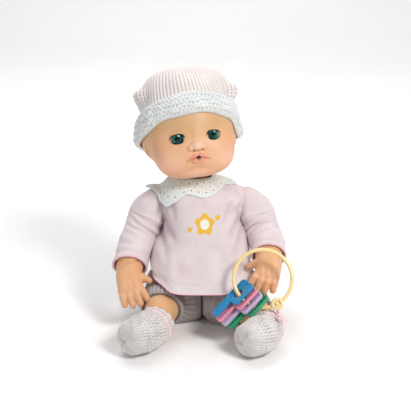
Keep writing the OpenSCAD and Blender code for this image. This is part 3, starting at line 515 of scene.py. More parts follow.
def head_skin(u):
    """Radius of the skin with the eyes opened, and the tints, marks and painted shade of the sockets that
    belong to each place.
    """
    r, lips, hole, corner = face_r(u)
    lash = np.zeros_like(r)
    socket = np.zeros_like(r)
    opened = np.zeros_like(r)
    for side in (-1, 1):
        centre = np.array([side * EYE_AT[0], EYE_AT[1], EYE_AT[2]])
        near = smooth(-0.2, 0.4, u @ unit(centre))
        f, up = eye_plan(u * r[..., None], side)
        lid = ball_along(u, centre, EYE_R + EYE_ROOM)
        lifted = np.maximum(r, lid)
        r = mix(r, lifted, smooth(3.4, 1.0, f) * near)
        sunk = ball_along(u, centre, EYE_R - EYE_SUNK)
        open_here = smooth(0.10, -0.14, f) * near * (sunk > 0)
        r = mix(r, np.where(sunk > 0, sunk, r), open_here)
        opened = np.maximum(opened, open_here)
        rim = mix(0.25 * smooth(0.28, 0.10, f), smooth(0.75, 0.35, f), smooth(-0.5, 1.6, up))
        lash = np.maximum(lash, near * rim)
        socket = np.maximum(socket, near * smooth(1.6, 0.0, f))
    return r, lips, hole, corner, lash, socket, opened


def head_grid(cols, lats, dense):
    """Directions of a grid about the tilted neck line, with columns closer together at the face."""
    w = np.linspace(-math.pi, math.pi, cols, endpoint=False)
    lon = np.degrees(w - dense * np.sin(w))
    return directions(lon[None, :], lats[:, None], NECK_TILT)


# Rows of the head's grid, close together on the face, and its columns, crowded by this share to the front.
FACE_LATS = np.linspace(-66, 24, 250)
CROWN_LATS = np.linspace(26, 88, 32)
HEAD_COLS = 380
FACE_CROWD = 0.52
# Skin that is opened by more than this is cut away.
EYE_CUT = 0.03
head_u = head_grid(HEAD_COLS, np.concatenate([FACE_LATS, CROWN_LATS]), FACE_CROWD)
skin_r, lip_tint, mouth_hole_shade, corner_shade, lash_tint, socket_shade, eye_open = head_skin(head_u)
head_lon, head_lat = lon_lat(head_u)
head = loft("head_skin", head_place(head_u * skin_r[..., None]), "head", (False, True))
head_side = np.abs(head_lon)
paint(head, "blush", np.clip(swells(BLUSHES, head_side, head_lat), 0, 1))
paint(head, "lips", np.clip(lip_tint, 0, 1))
# Painted shade inside the mouth's hole and under the nostrils.
paint(head, "dark", np.clip(mouth_hole_shade + swell(NOSTRIL_SHADE, head_side, head_lat), 0, 1))
mouth_across, mouth_up = mouth_plan(head_lon, head_lat)
mouth_line_shade = bell(mouth_up, 0.5) * smooth(MOUTH_HALF, MOUTH_HALF - 3, np.abs(mouth_across)) * (head_side < 30)
# Painted shade in the corners of the mouth, round the eye sockets and along the line between the lips.
paint(head, "crease_shade", np.clip(0.55 * corner_shade + 0.3 * socket_shade + 0.55 * mouth_line_shade, 0, 1))
# Painted highlights on the tip of the nose, the cheeks and the chin.
paint(head, "pale", np.clip(swells(HIGHLIGHT_SPOTS, head_side, head_lat), 0, 1))
# Painted shade of the cap on the forehead, darkest at the top.
paint(head, "cap_shade", 0.55 * smooth(-14, 6, head_lat))
paint(head, "lash", np.clip(lash_tint, 0, 1))
cut_away(head, eye_open > EYE_CUT)


# Skin

SKIN = rgb(221, 170, 122)
SKIN_PALE = rgb(227, 182, 138)
SKIN_HIGHLIGHT = rgb(243, 203, 176)
CAP_SHADE_GOLD = rgb(196, 158, 112)
SKIN_BLUSH = rgb(230, 142, 114)
LIP_PINK = rgb(226, 132, 124)
CREASE_SHADE_BROWN = rgb(170, 98, 66)
LASH_BROWN = rgb(26, 20, 17)
HOLLOW_SHADE = rgb(60, 22, 20)
# Painted features of the face, with painted shade of the cap, painted highlights, and painted shade in the
# creases, the mouth's hole and the nostrils, in the order they are laid on: mark, colour and strength.
FACE_TINTS = [
    ("cap_shade", CAP_SHADE_GOLD, 1.0), ("pale", SKIN_HIGHLIGHT, 1.0), ("lips", LIP_PINK, 0.62),
    ("crease_shade", CREASE_SHADE_BROWN, 0.6), ("lash", LASH_BROWN, 1.0), ("dark", HOLLOW_SHADE, 1.0),
]


def vinyl(name, face=False):
    """Soft vinyl skin: faint mottling, a satin surface and fine pores. The face has painted features, painted
    highlights and painted shade.
    """
    m = material(name, 0.46, Subsurface_Weight=0.12, Specular_IOR_Level=0.42, Sheen_Weight=0.08)
    shader_of(m).inputs["Subsurface Radius"].default_value = (0.004, 0.0018, 0.001)
    mottled = ramp(m, noise(m, 38.0, 2.0), (0.3, SKIN), (0.72, SKIN_PALE))
    colour = tinted(m, mottled, "blush", SKIN_BLUSH)
    if face:
        for mark, tint, share in FACE_TINTS:
            colour = tinted(m, colour, mark, tint, share)
    link(m, colour, "Base Color")
    bump_from(m, noise(m, 900.0, 2.0), 0.00012, 0.35)
    return m


skin_face = vinyl("skin_face", True)
skin = vinyl("skin")
dress(head, skin_face, "vinyl", "head_shell")


# Eyes: glossy balls with a painted iris, and lashes that turn with them

IRIS_R = 5.9
PUPIL_R = 2.5
# The eyes look a little to the right of straight ahead and a little down, in degrees.
GAZE = -2
GAZE_DOWN = 9
# The distance from the middle of the iris is stored in mm, and this much stands for the back of the ball.
RING_SPAN = 12.0


def eye_place(points, side):
    """From an eye's own middle to the doll's frame."""
    return head_place(np.asarray(points) + np.array([side * EYE_AT[0], EYE_AT[1], EYE_AT[2]]))


def eye_ball(name, side):
    """A ball whose pole looks forward, with a cornea that stands a little proud of it."""
    rows, cols = 110, 96
    a = np.linspace(0.004, math.pi - 0.004, rows)[:, None]
    w = np.linspace(0, 2 * math.pi, cols, endpoint=False)[None, :]
    across = EYE_R * np.sin(a)
    bulge = 0.18 * smooth(IRIS_R + 0.6, IRIS_R - 1.5, across) * (a < 1.5)
    r = EYE_R + bulge
    x = r * np.sin(a) * np.cos(w)
    z = r * np.sin(a) * np.sin(w)
    y = -r * np.cos(a) + 0 * w
    pts = np.stack([x, y, z], -1) @ (turn("Z", GAZE) @ turn("X", GAZE_DOWN)).T
    obj = loft(name, eye_place(pts, side), "eyes", (True, True))
    paint(obj, "ring", np.broadcast_to(np.where(a < 1.6, across, RING_SPAN), x.shape))
    streak = np.stack([np.cos(w) + 0 * a, np.sin(w) + 0 * a, across / 9 + 0 * w], -1)
    paint(obj, "streak", streak)
    return obj


def eye_material():
    m = material("eye_glass", 0.1, Coat_Weight=0.25, Coat_Roughness=0.02, Specular_IOR_Level=0.3)
    ring = math_node(m, "DIVIDE", stored(m, "ring"), RING_SPAN)
    where = add(m, "ShaderNodeAttribute", attribute_name="streak").outputs["Vector"]
    streaks = add(m, "ShaderNodeTexNoise", {"Vector": where, "Scale": 9.0, "Detail": 4.0}).outputs["Fac"]
    pupil = PUPIL_R / RING_SPAN
    iris = IRIS_R / RING_SPAN
    # The white of the eye is painted a dim cream, as painted shade from the lid and the socket.
    shade = ramp(m, ring, (0.0, rgb(4, 5, 6)), (pupil, rgb(6, 9, 9)), (pupil + 0.02, rgb(0, 62, 58)),
                 (0.29, rgb(0, 98, 90)), (0.37, rgb(14, 150, 138)), (iris - 0.06, rgb(0, 84, 80)),
                 (iris - 0.01, rgb(3, 16, 17)), (iris + 0.02, rgb(176, 164, 140)),
                 (0.62, rgb(200, 192, 174)))
    inside = math_node(m, "LESS_THAN", ring, iris - 0.01)
    grain = ramp(m, streaks, (0.32, rgb(110, 116, 112)), (0.68, rgb(255, 255, 255)))
    link(m, blend_colour(m, math_node(m, "MULTIPLY", inside, 0.85), shade, grain, "MULTIPLY"), "Base Color")
    return m


def lash_strip(name, side):
    """Upper lashes: a comb of fine hairs along the edge of the lid, each a small pyramid."""
    points = []
    faces = []
    hairs = 34
    for i in range(hairs):
        out = mix(-EYE_HALF_WIDE + 0.2, EYE_HALF_WIDE + 0.4, i / (hairs - 1))
        reach = np.clip(1 - (abs(out) / (EYE_HALF_WIDE + 0.7)) ** 2.3, 0, 1)
        up = EYE_HALF_UP * reach ** 0.5 - 0.1 - EYE_LOW + EYE_SLANT * out
        deep = math.sqrt((EYE_R + 0.45) ** 2 - out ** 2 - up ** 2)
        root = np.array([side * out, -deep, up])
        lean = 0.16 * out + 0.25 * math.sin(i * 2.4)
        tip = root + np.array([side * lean, -1.9, 1.15 + 0.2 * math.sin(i * 1.7)])
        wide = np.array([0.24, 0, 0])
        deepen = np.array([0, 0.1, 0.30])
        first = len(points)
        points += [root - wide, root + wide, root + deepen, tip]
        faces += [[first, first + 1, first + 3], [first + 1, first + 2, first + 3],
                  [first + 2, first, first + 3], [first, first + 2, first + 1]]
    return make_mesh(name, eye_place(np.array(points), side), faces, "eyes")


eye_glass = eye_material()
lash_hair = material("lash_hair", 0.6)
lash_shade = ramp(lash_hair, noise(lash_hair, 700.0), (0.3, rgb(14, 10, 9)), (0.7, rgb(44, 30, 24)))
link(lash_hair, lash_shade, "Base Color")
for which, side in SIDES.items():
    dress(eye_ball("eye_" + which, side), eye_glass, "eye_colour", "eyeball_" + which, "iris_" + which)
    dress(lash_strip("lashes_" + which, side), lash_hair, "dark_plastic")


# Knitting: a height for each stitch, which shapes the surface and lays painted shade on what lies deep or
# inside

def rib_stitches(across, along):
    """Rib knit with a hole between the ribs at each row: 0 is deep and 1 is high. Both count stitches."""
    f = np.abs(across - np.round(across)) * 2
    ridge = 1 - f ** 2.2
    row = 0.5 + 0.5 * np.cos(2 * math.pi * (along - 0.3 * f))
    gap = along - np.floor(along) - 0.5
    hole = bell(1 - f, 0.34) * bell(gap, 0.19)
    return np.clip(ridge * (0.74 + 0.26 * row) + 0.6 * (1 - ridge) - 0.9 * hole, 0, 1)


def purl_stitches(across, along):
    """Bumpy garter knit: rows of small loops, each row set over by half a stitch."""
    row = np.floor(along)
    f = across + 0.5 * (row % 2)
    f = (f - np.round(f)) * 2
    g = (along - row - 0.5) * 2
    loop = np.clip(1 - (0.85 * f) ** 2 - (0.8 * g + 0.45 * f * f - 0.2) ** 2, 0, 1) ** 0.5
    return np.clip(loop, 0, 1)


def plain_stitches(across, along):
    """Stocking stitch: columns of small slanted loops that meet as Vs."""
    f = across - np.round(across)
    leg = np.abs(np.abs(f) - 0.25) * 4
    slant = along - np.abs(f) * 1.1
    loop = 0.5 + 0.5 * np.cos(2 * math.pi * slant)
    return np.clip((1 - leg ** 2) * (0.55 + 0.45 * loop), 0, 1)


def knit(name, light, deep, depth_from=0.05, depth_to=0.6, roughness=0.9):
    """Wool: painted shade between the stitches, with fibres, a soft sheen and slow changes of tone."""
    m = material(name, roughness, Sheen_Weight=0.35, Sheen_Roughness=0.5, Specular_IOR_Level=0.2)
    base = ramp(m, stored(m, "depth"), (depth_from, deep), (depth_to, light))
    tone = ramp(m, noise(m, 26.0, 2.0), (0.3, (0.90, 0.89, 0.89, 1)), (0.7, (1, 1, 1, 1)))
    fibre = noise(m, 1500.0, 3.0)
    speck = ramp(m, fibre, (0.3, (0.86, 0.86, 0.86, 1)), (0.65, (1, 1, 1, 1)))
    colour = blend_colour(m, 1.0, base, tone, "MULTIPLY")
    link(m, blend_colour(m, 1.0, colour, speck, "MULTIPLY"), "Base Color")
    bump_from(m, fibre, 0.0004, 0.7)
    return m


# Cap: a slack ribbed crown with two soft corners, and a turned-up lacy cuff

CAP_TILT = -25
CAP_GROW = 4.1
CUFF_GROW = 4.6
CUFF_T = 3.4
RIM_LAT = -10
CUFF_TOP_LAT = 16
# The cap is pulled lower over the doll's left ear.
CUFF_DROP = 6
CAP_SLACK = 6.5
# The slack gathers at both sides: two broad shoulders, and two small corners that turn outwards. Each has
# its height, longitude and latitude on the cap, and its spread across and along.
CAP_SLOUCH = [(15, 84, 48, 24, 13), (9, 276, 56, 26, 13), (14, 84, 30, 9, 5.5), (9, 276, 40, 8, 5)]
# A tuck near the top and a fold at each side, given in the same way.
CAP_FOLDS = [(-2.6, 352, 72, 7, 6), (1.8, 340, 70, 6, 6), (-2.4, 62, 34, 5, 9), (-2.4, 298, 34, 5, 9)]
CAP_RIBS = 72
CAP_ROWS = 31
CUFF_LOOPS = 80
CUFF_ROWS = 7


def cap_bag(lon, lat):
    return CAP_SLACK * smooth(12, 75, lat) + swells(CAP_SLOUCH, lon, lat)


def cap_r(u):
    """The head under the cap: skull, cheeks and ears, with no small features."""
    lon, lat = lon_lat(u)
    side = np.abs(lon)
    return skull_r(u) + swells((SWELLINGS["cheek"], SWELLINGS["eye_hollow"], EAR), side, lat)


def crown_points():
    cols, rows = CAP_RIBS * 8, CAP_ROWS * 7
    lon = around(cols)
    lat = np.linspace(CUFF_TOP_LAT - 14, 87.5, rows)[:, None]
    u = directions(lon, lat, CAP_TILT)
    r = cap_r(u) + mix(1.2, CAP_GROW, smooth(22, 66, lat)) + cap_bag(lon, lat)
    at = u * r[..., None]
    sag = 1.6 * ripple(at, 5, 46) * smooth(14, 34, lat)
    across = lon / 360 * CAP_RIBS + 0.22 * ripple(at, 8, 60)
    along = (lat - CUFF_TOP_LAT) / (90 - CUFF_TOP_LAT) * CAP_ROWS + 0.15 * ripple(at, 9, 40)
    stitch = rib_stitches(across, along)
    shallow = smooth(88, 66, lat) * 0.75 + 0.25
    r = r + sag + swells(CAP_FOLDS, lon, lat) - 0.6 + 1.15 * stitch * shallow
    return u * r[..., None], mix(0.55, stitch, shallow)


def cuff_points():
    """A soft roll of knitting: its section runs up the outside, over the top and down behind."""
    cols, outer, inner = CUFF_LOOPS * 8, 72, 12
    lon = around(cols)
    s = np.concatenate([np.linspace(0, 1, outer, endpoint=False), np.linspace(1, 0, inner)])[:, None]
    front = (np.arange(outer + inner) < outer)[:, None]
    lat = mix(RIM_LAT - CUFF_DROP * bell(lon - 92, 20), CUFF_TOP_LAT, s)
    lat = lat + 0.9 * sine(lon * 7) * (1 - s) + 0.6 * sine(lon * 5 + 60) * s
    u = directions(lon, lat, CAP_TILT)
    puff = np.clip(1 - np.abs(2 * s - 1) ** 3.2, 0, 1) ** 0.55
    roll = 0.9 * bell(s - 0.10, 0.07)
    r = cap_r(u) + CUFF_GROW
    uneven = ripple(u * r[..., None], 3, 11)
    stitch = purl_stitches(lon / 360 * CUFF_LOOPS + 0.25 * uneven, s * CUFF_ROWS + 0.35 * uneven)
    ridge = np.sin(2 * math.pi * (s * 4 + 0.3 * uneven + 0.2 * sine(lon * 11)))
    relief = 1.4 * stitch + 0.4 * ridge + 0.5 * uneven
    out = np.where(front, CUFF_T * (0.1 + 0.9 * puff) + roll - 0.3 + relief * puff, 0.1)
    tucked = -4.0 * smooth(0.22, 0.0, s)
    r = r + tucked + out
    shade = mix(0.5, np.clip(0.78 * stitch + 0.12 * ridge + 0.12, 0, 1), puff)
    return u * r[..., None], np.where(front, shade, 0.2)


crown_xyz, crown_depth = crown_points()
crown = loft("cap_crown_knit", head_place(crown_xyz), "head", (False, True))
paint(crown, "depth", crown_depth)
dress(crown, knit("wool_crown", rgb(244, 235, 231), rgb(124, 98, 92), 0.0, 0.40), "knit_cap", "cap_crown")
cuff_xyz, cuff_depth = cuff_points()
cuff = loft("cap_cuff_knit", head_place(cuff_xyz), "head", joined=True)
paint(cuff, "depth", cuff_depth)
dress(cuff, knit("wool_cuff", rgb(234, 237, 235), rgb(138, 146, 147), 0.0, 0.6), "knit_white", "cap_cuff")


# Tunic: the part's own body of velour, with folds, seams, a stitched hem band and a plain emblem

SEAM_Y = 10.0
SHOULDER_Z = 118.0
TUNIC_Z = [56, 63, 81, 95, 118, 133, 143, 148.5]
TUNIC_A = [57, 53, 49, 45.5, 45.3, 40.5, 33.5, 27.5]
TUNIC_F = [101, 90, 73, 64, 51, 43, 34, 25]
TUNIC_B = [43, 41, 39, 37, 35, 33, 29, 25]
CLOTH_T = 1.6
HEM_BAND = 9.0
ARMHOLE_R = 21.0
# The neck leans to the right by so much, and the left shoulder reaches out further to its sleeve.
NECK_LEAN = -10.0
LEFT_SHOULDER = 13.0
# The belly swells out at both sides under the arms.
RIGHT_FLANK = 8.0
LEFT_FLANK = 5.0


def lean(z):
    return NECK_LEAN * smooth(118, 148, z)


def hem_drop(w):
    front = np.abs(apart(w, 270))
    return -9 * bell(front, 30) - 36 * smooth(112, 160, front)


def tunic_surface(w, v, grow):
    """Points of the tunic at w degrees round it and v from the hem (0) to the neck (7)."""
    c, s = cosine(w), sine(w)
    square = mix(0.55, 0.8, smooth(0, 4, v))
    drop = hem_drop(w) * (1 - smooth(0, 1.6, v))
    z = curve(TUNIC_Z, v) + drop
    fold = grow + 1.2 * sine(9 * w) * (1 - smooth(0, 2.2, v))
    deep = np.where(s < 0, curve(TUNIC_F, v), curve(TUNIC_B, v)) + fold
    shoulder = LEFT_SHOULDER * smooth(118, 134, z) * smooth(149, 141, z) * (c > 0)
    right = RIGHT_FLANK * (c < 0) * smooth(54, 64, z) * smooth(96, 78, z)
    left = LEFT_FLANK * (c > 0) * smooth(58, 74, z) * smooth(108, 90, z)
    x = lean(z) + (curve(TUNIC_A, v) + fold + shoulder + right + left) * spow(c, square)
    y = SEAM_Y + deep * spow(s, square)
    return np.stack([x + 0 * y, y + 0 * x, z + 0 * x], -1)


def crease(x, z, start, end, wide, depth):
    """A soft fold drawn between two places on the front: it fades at both ends."""
    a, b = np.array(start, float), np.array(end, float)
    way = b - a
    t = ((x - a[0]) * way[0] + (z - a[1]) * way[1]) / (way @ way)
    off = ((x - a[0]) * way[1] - (z - a[1]) * way[0]) / math.hypot(*way)
    ends = smooth(-0.12, 0.15, t) * smooth(1.12, 0.75, t)
    return depth * ends * (bell(off, wide) - 0.55 * bell(off - 1.9 * wide, wide))


# Folds of the front: from, to (across and up), width and depth in mm.
FRONT_FOLDS = [
    ((-47, 112), (-30, 92), 3.4, -2.2), ((-48, 98), (-38, 74), 3.6, -1.6), ((45, 114), (30, 96), 3.4, -2.0),
    ((46, 100), (36, 78), 3.4, -1.6), ((-38, 136), (-30, 112), 2.8, -1.3), ((33, 134), (24, 112), 2.8, -1.5),
    ((-30, 84), (-20, 62), 4.4, -0.8), ((26, 84), (18, 64), 4.4, -0.8),
]


def tunic_normal(w, v):
    across = tunic_surface(w + 0.5, v, 0) - tunic_surface(w - 0.5, v, 0)
    up = tunic_surface(w, np.minimum(v + 0.02, 7), 0) - tunic_surface(w, np.maximum(v - 0.02, 0), 0)
    return unit(np.cross(across, up))


def star(x, z, at, size, points, depth, turned=0.0):
    """1 inside a soft-cornered star or flower of so many points, 0 outside it."""
    a = np.arctan2(x - at[0], z - at[1]) + turned
    edge = size * (1 - depth * (0.5 - 0.5 * np.cos(points * a)))
    return smooth(edge + 0.35, edge - 0.35, np.hypot(x - at[0], z - at[1]))


# The emblem: a yellow flower with a pale middle, and two small stars set beside it.
FLOWER_AT = (3.0, 112.5)
FLOWER_R = 11.5
STARS_AT = [(-13.5, 107.0), (17.5, 119.0)]
STAR_R = 3.6
# How far the tunic's columns of points are drawn together at the front.
COLUMN_CROWD = 0.45


def tunic_columns(cols):
    """Degrees round the tunic, closer together at the front."""
    a = np.linspace(-math.pi, math.pi, cols, endpoint=False)
    return np.degrees(a - COLUMN_CROWD * np.sin(a))[None, :] + 270


def tunic_points(cols=480, rows=220):
    w = tunic_columns(cols)
    v = (7 * np.linspace(0, 1, rows) ** 1.05)[:, None]
    base = tunic_surface(w, v, 0)
    out = tunic_normal(w, v)
    x, y, z = np.moveaxis(base, -1, 0)
    front = smooth(0, -18, y)
    push = 0.7 * ripple(base, 11, 34) * smooth(0.2, 1.5, v)
    for start, end, wide, depth in FRONT_FOLDS:
        push = push + front * crease(x, z, start, end, wide, depth)
    above_hem = z - (TUNIC_Z[0] + hem_drop(w))
    band = smooth(HEM_BAND + 0.8, HEM_BAND - 0.2, above_hem)
    seam = bell(above_hem - HEM_BAND, 0.5)
    edge = smooth(1.5, 0.7, above_hem)
    push = push + 0.25 * band - 0.45 * seam + 0.35 * edge
    from_arm = np.hypot(y - SEAM_Y + 1, z - SHOULDER_Z)
    side = smooth(28, 40, np.abs(x - lean(z)))
    armhole_out = 2.6 * smooth(ARMHOLE_R + 1, ARMHOLE_R - 4, from_arm)
    armhole_seam = 0.7 * bell(from_arm - ARMHOLE_R - 2.6, 0.9)
    push = push + side * (armhole_out - armhole_seam)
    dashes = smooth(-0.1, 0.3, sine(w * 90))
    thread = bell(above_hem - HEM_BAND + 1.7, 0.4) * dashes
    flower = star(x, z, FLOWER_AT, FLOWER_R, 5, 0.26)
    middle = star(x, z, FLOWER_AT, 0.46 * FLOWER_R, 5, 0.04)
    stars = sum(star(x, z, at, STAR_R, 5, 0.45) for at in STARS_AT)
    # deep is painted shade in the folds and along the seam.
    marks = {
        "edge": edge, "thread": 0.5 * thread, "deep": np.clip(-push / 2.6, 0, 1) + 0.25 * seam,
        "motif": np.clip(flower + stars, 0, 1) * front, "motif_pale": middle * front,
    }
    return base + out * push[..., None], marks


# Marks on the velour, in the order they are laid on: mark, colour and strength. deep is painted shade in the
# folds and seams.
VELOUR_TINTS = [
    ("deep", rgb(204, 168, 174), 0.5), ("edge", rgb(244, 186, 198), 0.8), ("thread", rgb(246, 232, 232), 1.0),
    ("motif", rgb(242, 190, 44), 0.95), ("motif_pale", rgb(248, 246, 238), 0.95),
]


def velour(name):
    """Plush cloth: fine nap, a pale sheen at grazing angles, rosy painted shade in the folds and seams, with
    a pink edging.
    """
    m = material(name, 0.85, Sheen_Weight=0.7, Sheen_Roughness=0.35, Specular_IOR_Level=0.2)
    shader_of(m).inputs["Sheen Tint"].default_value = rgb(255, 236, 238)
    nap = noise(m, 60.0, 4.0)
    colour = ramp(m, nap, (0.32, rgb(226, 211, 213)), (0.68, rgb(234, 222, 223)))
    for mark, tint, share in VELOUR_TINTS:
        colour = tinted(m, colour, mark, tint, share)
    pile = noise(m, 2200.0, 3.0)
    speck = ramp(m, pile, (0.3, (0.88, 0.88, 0.88, 1)), (0.7, (1, 1, 1, 1)))
    link(m, blend_colour(m, 1.0, colour, speck, "MULTIPLY"), "Base Color")
    bump_from(m, pile, 0.00035, 0.6)
    return m


tunic_xyz, tunic_marks = tunic_points()
inner_w = tunic_columns(tunic_xyz.shape[1])
inner_v = np.linspace(0.04, 1.2, 12)[:, None]
lining = tunic_surface(inner_w, inner_v, -CLOTH_T)[::-1]
tunic = loft("tunic_velour", np.concatenate([lining, tunic_xyz]), "torso")
for mark, values in tunic_marks.items():
    first_row = values[:1] if mark == "edge" else 0 * values[:1]
    paint(tunic, mark, np.concatenate([np.repeat(first_row, len(lining), axis=0), values]))
plush = velour("plush")
dress(tunic, plush, "velour", "tunic_body")


# Sleeves: soft tubes that follow the part's arms, with folds at the elbow and an edged cuff

SLEEVE_GROW = 3.4
CUFF_S = 5.85
# The flat side of a sleeve lies on the tunic.
SLEEVE_FLAT = 45.1
HAND_BACK = np.array([0, -0.6, 0.8])
ARM_POINTS = {
    "right": [(-61.3, 9, 138), (-61.8, 9, 131), (-62.8, 8, 118), (-66, 3, 101), (-73, -8, 84),
              (-79, -29, 70), (-82, -48, 61), (-81, -61, 53.5), (-79.5, -74, 47)],
    "left": [(61.3, 9, 138), (61.8, 9, 131), (62.8, 8, 118), (65, 3, 103), (71, -8, 89), (75, -29, 80),
             (75, -46, 74), (74, -58, 68), (72.5, -69, 62)],
}
ARM_RX = [5, 14.5, 18, 17.5, 17, 16.5, 14.5, 14.5, 13]
ARM_RY = [5, 14.5, 18, 17.5, 17, 16, 12.5, 9.5, 6.5]
# Folds of a sleeve: place along it, slant, where round it they are deepest, width and height.
SLEEVE_FOLDS = [
    (2.55, 0.45, 30, 0.14, 2.0), (3.05, 0.55, 30, 0.15, 3.0), (3.55, 0.55, 35, 0.16, 3.5),
    (4.05, 0.45, 40, 0.15, 3.0), (4.5, 0.35, 55, 0.14, 2.2), (4.95, 0.2, 90, 0.13, 1.3),
    (5.3, 0.1, 200, 0.12, 0.7), (3.5, -0.2, 215, 0.24, 0.7),
]
# Above this place on the arm's line the sleeve is a round dome of this height.
DOME_S = 2.0
DOME_H = 20.5
# The shoulder slopes: its outer side is drawn in by this share, and its top is set in by so much.
SHOULDER_SLOPE = 0.5
SHOULDER_IN = 8.0


def arm_surface(which, s, w, grow):
    """Points round an arm. s runs from the shoulder to the knuckles, and w is in degrees."""
    s, w, grow = np.broadcast_arrays(s, w, grow)
    p = ARM_POINTS[which]
    t, b, m = line_frame(p, s, HAND_BACK)
    c, d = cosine(w), sine(w)
    rx = curve(ARM_RX, s) + grow
    ry = curve(ARM_RY, s) + grow
    return curve(p, s) + b * (rx * c)[..., None] + m * (ry * d)[..., None]


def sleeve_surface(which, s, w, grow):
    """The arm's own form with a dome over the shoulder. It is squarer where it meets the tunic."""
    s, w, grow = np.broadcast_arrays(s, w, grow)
    p = ARM_POINTS[which]
    under = np.maximum(s, DOME_S)
    t, b, m = line_frame(p, under, HAND_BACK)
    c, d = cosine(w), sine(w)
    inner = smooth(0.0, 0.6, -SIDES[which] * c) * smooth(4.2, 2.6, s)
    square = mix(1.0, 0.62, inner)
    rise = np.radians(90 * np.clip(1 - s / DOME_S, 0, 0.985))
    sloped = 1 - SHOULDER_SLOPE * smooth(2.9, 0.8, s) * smooth(0.0, 0.4, SIDES[which] * c)
    rx = (curve(ARM_RX, under) + grow) * np.cos(rise) * sloped * spow(c, square)
    ry = (curve(ARM_RY, under) + grow) * np.cos(rise) * spow(d, square)
    centre = curve(p, under) - t * (DOME_H * np.sin(rise))[..., None]
    centre = centre - np.array([SIDES[which] * SHOULDER_IN, 0, 0]) * smooth(1.8, 0.2, s)[..., None]
    return centre + b * rx[..., None] + m * ry[..., None]


def flatten(points, which, flat):
    """Moves points that are too near the middle of the doll out to a flat side."""
    side = SIDES[which]
    points = points.copy()
    points[..., 0] = side * np.maximum(side * points[..., 0], flat)
    return points


def sleeve_points(which, cols=150, rows=190):
    w = around(cols)
    s = (CUFF_S * np.linspace(0, 1, rows) ** 1.12)[:, None]
    body_side = w if SIDES[which] < 0 else 180 - w
    base = sleeve_surface(which, s, w, SLEEVE_GROW)
    x, y, z = np.moveaxis(base, -1, 0)
    fold = 0.7 * ripple(base, 21 + SIDES[which], 30) * smooth(0.6, 1.6, s)
    for at, slant, deepest, wide, high in SLEEVE_FOLDS:
        turned = np.radians(body_side - deepest)
        off = s - at - slant * np.cos(turned)
        share = (0.5 + 0.5 * np.cos(turned)) ** 1.5
        fold = fold + high * share * (bell(off, wide) - 0.7 * bell(off - 1.7 * wide, wide))
    fold = fold * smooth(1.2, 2.0, s) * smooth(CUFF_S + 0.05, CUFF_S - 0.5, s)
    near_torso = SIDES[which] * x - SLEEVE_FLAT
    gather = 0.3 * sine(w * 22) * smooth(11, 2, near_torso) * smooth(2.4, 1.5, s)
    flare = 1.6 * smooth(CUFF_S - 0.7, CUFF_S, s)
    hem = bell(s - CUFF_S + 0.42, 0.05)
    edge = smooth(CUFF_S - 0.13, CUFF_S - 0.06, s) + 0 * w
    push = fold + gather + flare - 0.6 * hem + 0.4 * edge
    pts = sleeve_surface(which, s, w, SLEEVE_GROW + push)
    inside_s = np.linspace(CUFF_S, CUFF_S - 1.1, 10)[:, None]
    inside = arm_surface(which, inside_s, w, 1.7 + 1.4 * smooth(CUFF_S - 0.7, CUFF_S, inside_s))
    whole = np.concatenate([pts, inside])
    # deep is painted shade in the folds of the sleeve.
    marks = {
        "edge": 0.55 * edge, "deep": np.clip(-push / 2.6, 0, 1),
        "thread": 0.7 * bell(s - CUFF_S + 0.34, 0.02) * smooth(-0.1, 0.3, sine(w * 40)),
        "motif": 0 * push, "motif_pale": 0 * push,
    }
    full = {k: np.concatenate([q, np.repeat(q[-1:], len(inside), 0)]) for k, q in marks.items()}
    return flatten(whole, which, SLEEVE_FLAT), full


sleeve_clouds = []
for which in SIDES:
    sleeve_xyz, sleeve_marks = sleeve_points(which)
    sleeve_clouds.append(sleeve_xyz)
    sleeve = loft("sleeve_velour_" + which, sleeve_xyz, "arm_" + which, (True, False))
    for mark, values in sleeve_marks.items():
        paint(sleeve, mark, values)
    dress(sleeve, plush, "velour", "sleeve_" + which)


# Collar: one flat ring of eyelet cotton in uneven lobes, laid on the shoulders

COLLAR_Z = 151.3
COLLAR_NECK = 21.5
COLLAR_T = 1.2
# The edge: degrees round the neck, and distance from its middle. Left and right are not alike.
COLLAR_EDGE = [
    (0, 50), (27, 48), (54, 42), (72, 37), (90, 35), (108, 37), (126, 40), (150, 41), (168, 43), (178, 50),
    (187, 57), (194, 48), (205, 45), (219, 46.5), (233, 49.5), (246, 46), (259, 39), (272, 39.5), (288, 43),
    (302, 44.5), (318, 42.5), (336, 39.5), (348, 45),
]
# How far the edge hangs below the neck, and how far the front stands up at the neck.
COLLAR_HANG = 23.0
COLLAR_STAND = 3.5
# The collar lies clear of the right sleeve raised about the shoulder to each of these angles, in degrees.
SLEEVE_RISES = [0, 8, 16, 24, 32, 40]
SHOULDER_AXIS = np.array([0, SEAM_Y, SHOULDER_Z])
# Rows of eyelets: place from the neck to the edge, and how many all round.
EYELET_ROWS = [(0.28, 20), (0.56, 25), (0.82, 29)]
EYELET_R = 0.95
# The height map under the collar: its squares, half its width, rounds of softening, and the steepest step.
MAP_STEP = 1.5
MAP_HALF = 80
MAP_SOFTEN = 4
MAP_STEEP = 4.0


def raised(cloud, degrees):
    """A sleeve's points with its arm raised."""
    return (cloud.reshape(-1, 3) - SHOULDER_AXIS) @ turn("X", -degrees).T + SHOULDER_AXIS


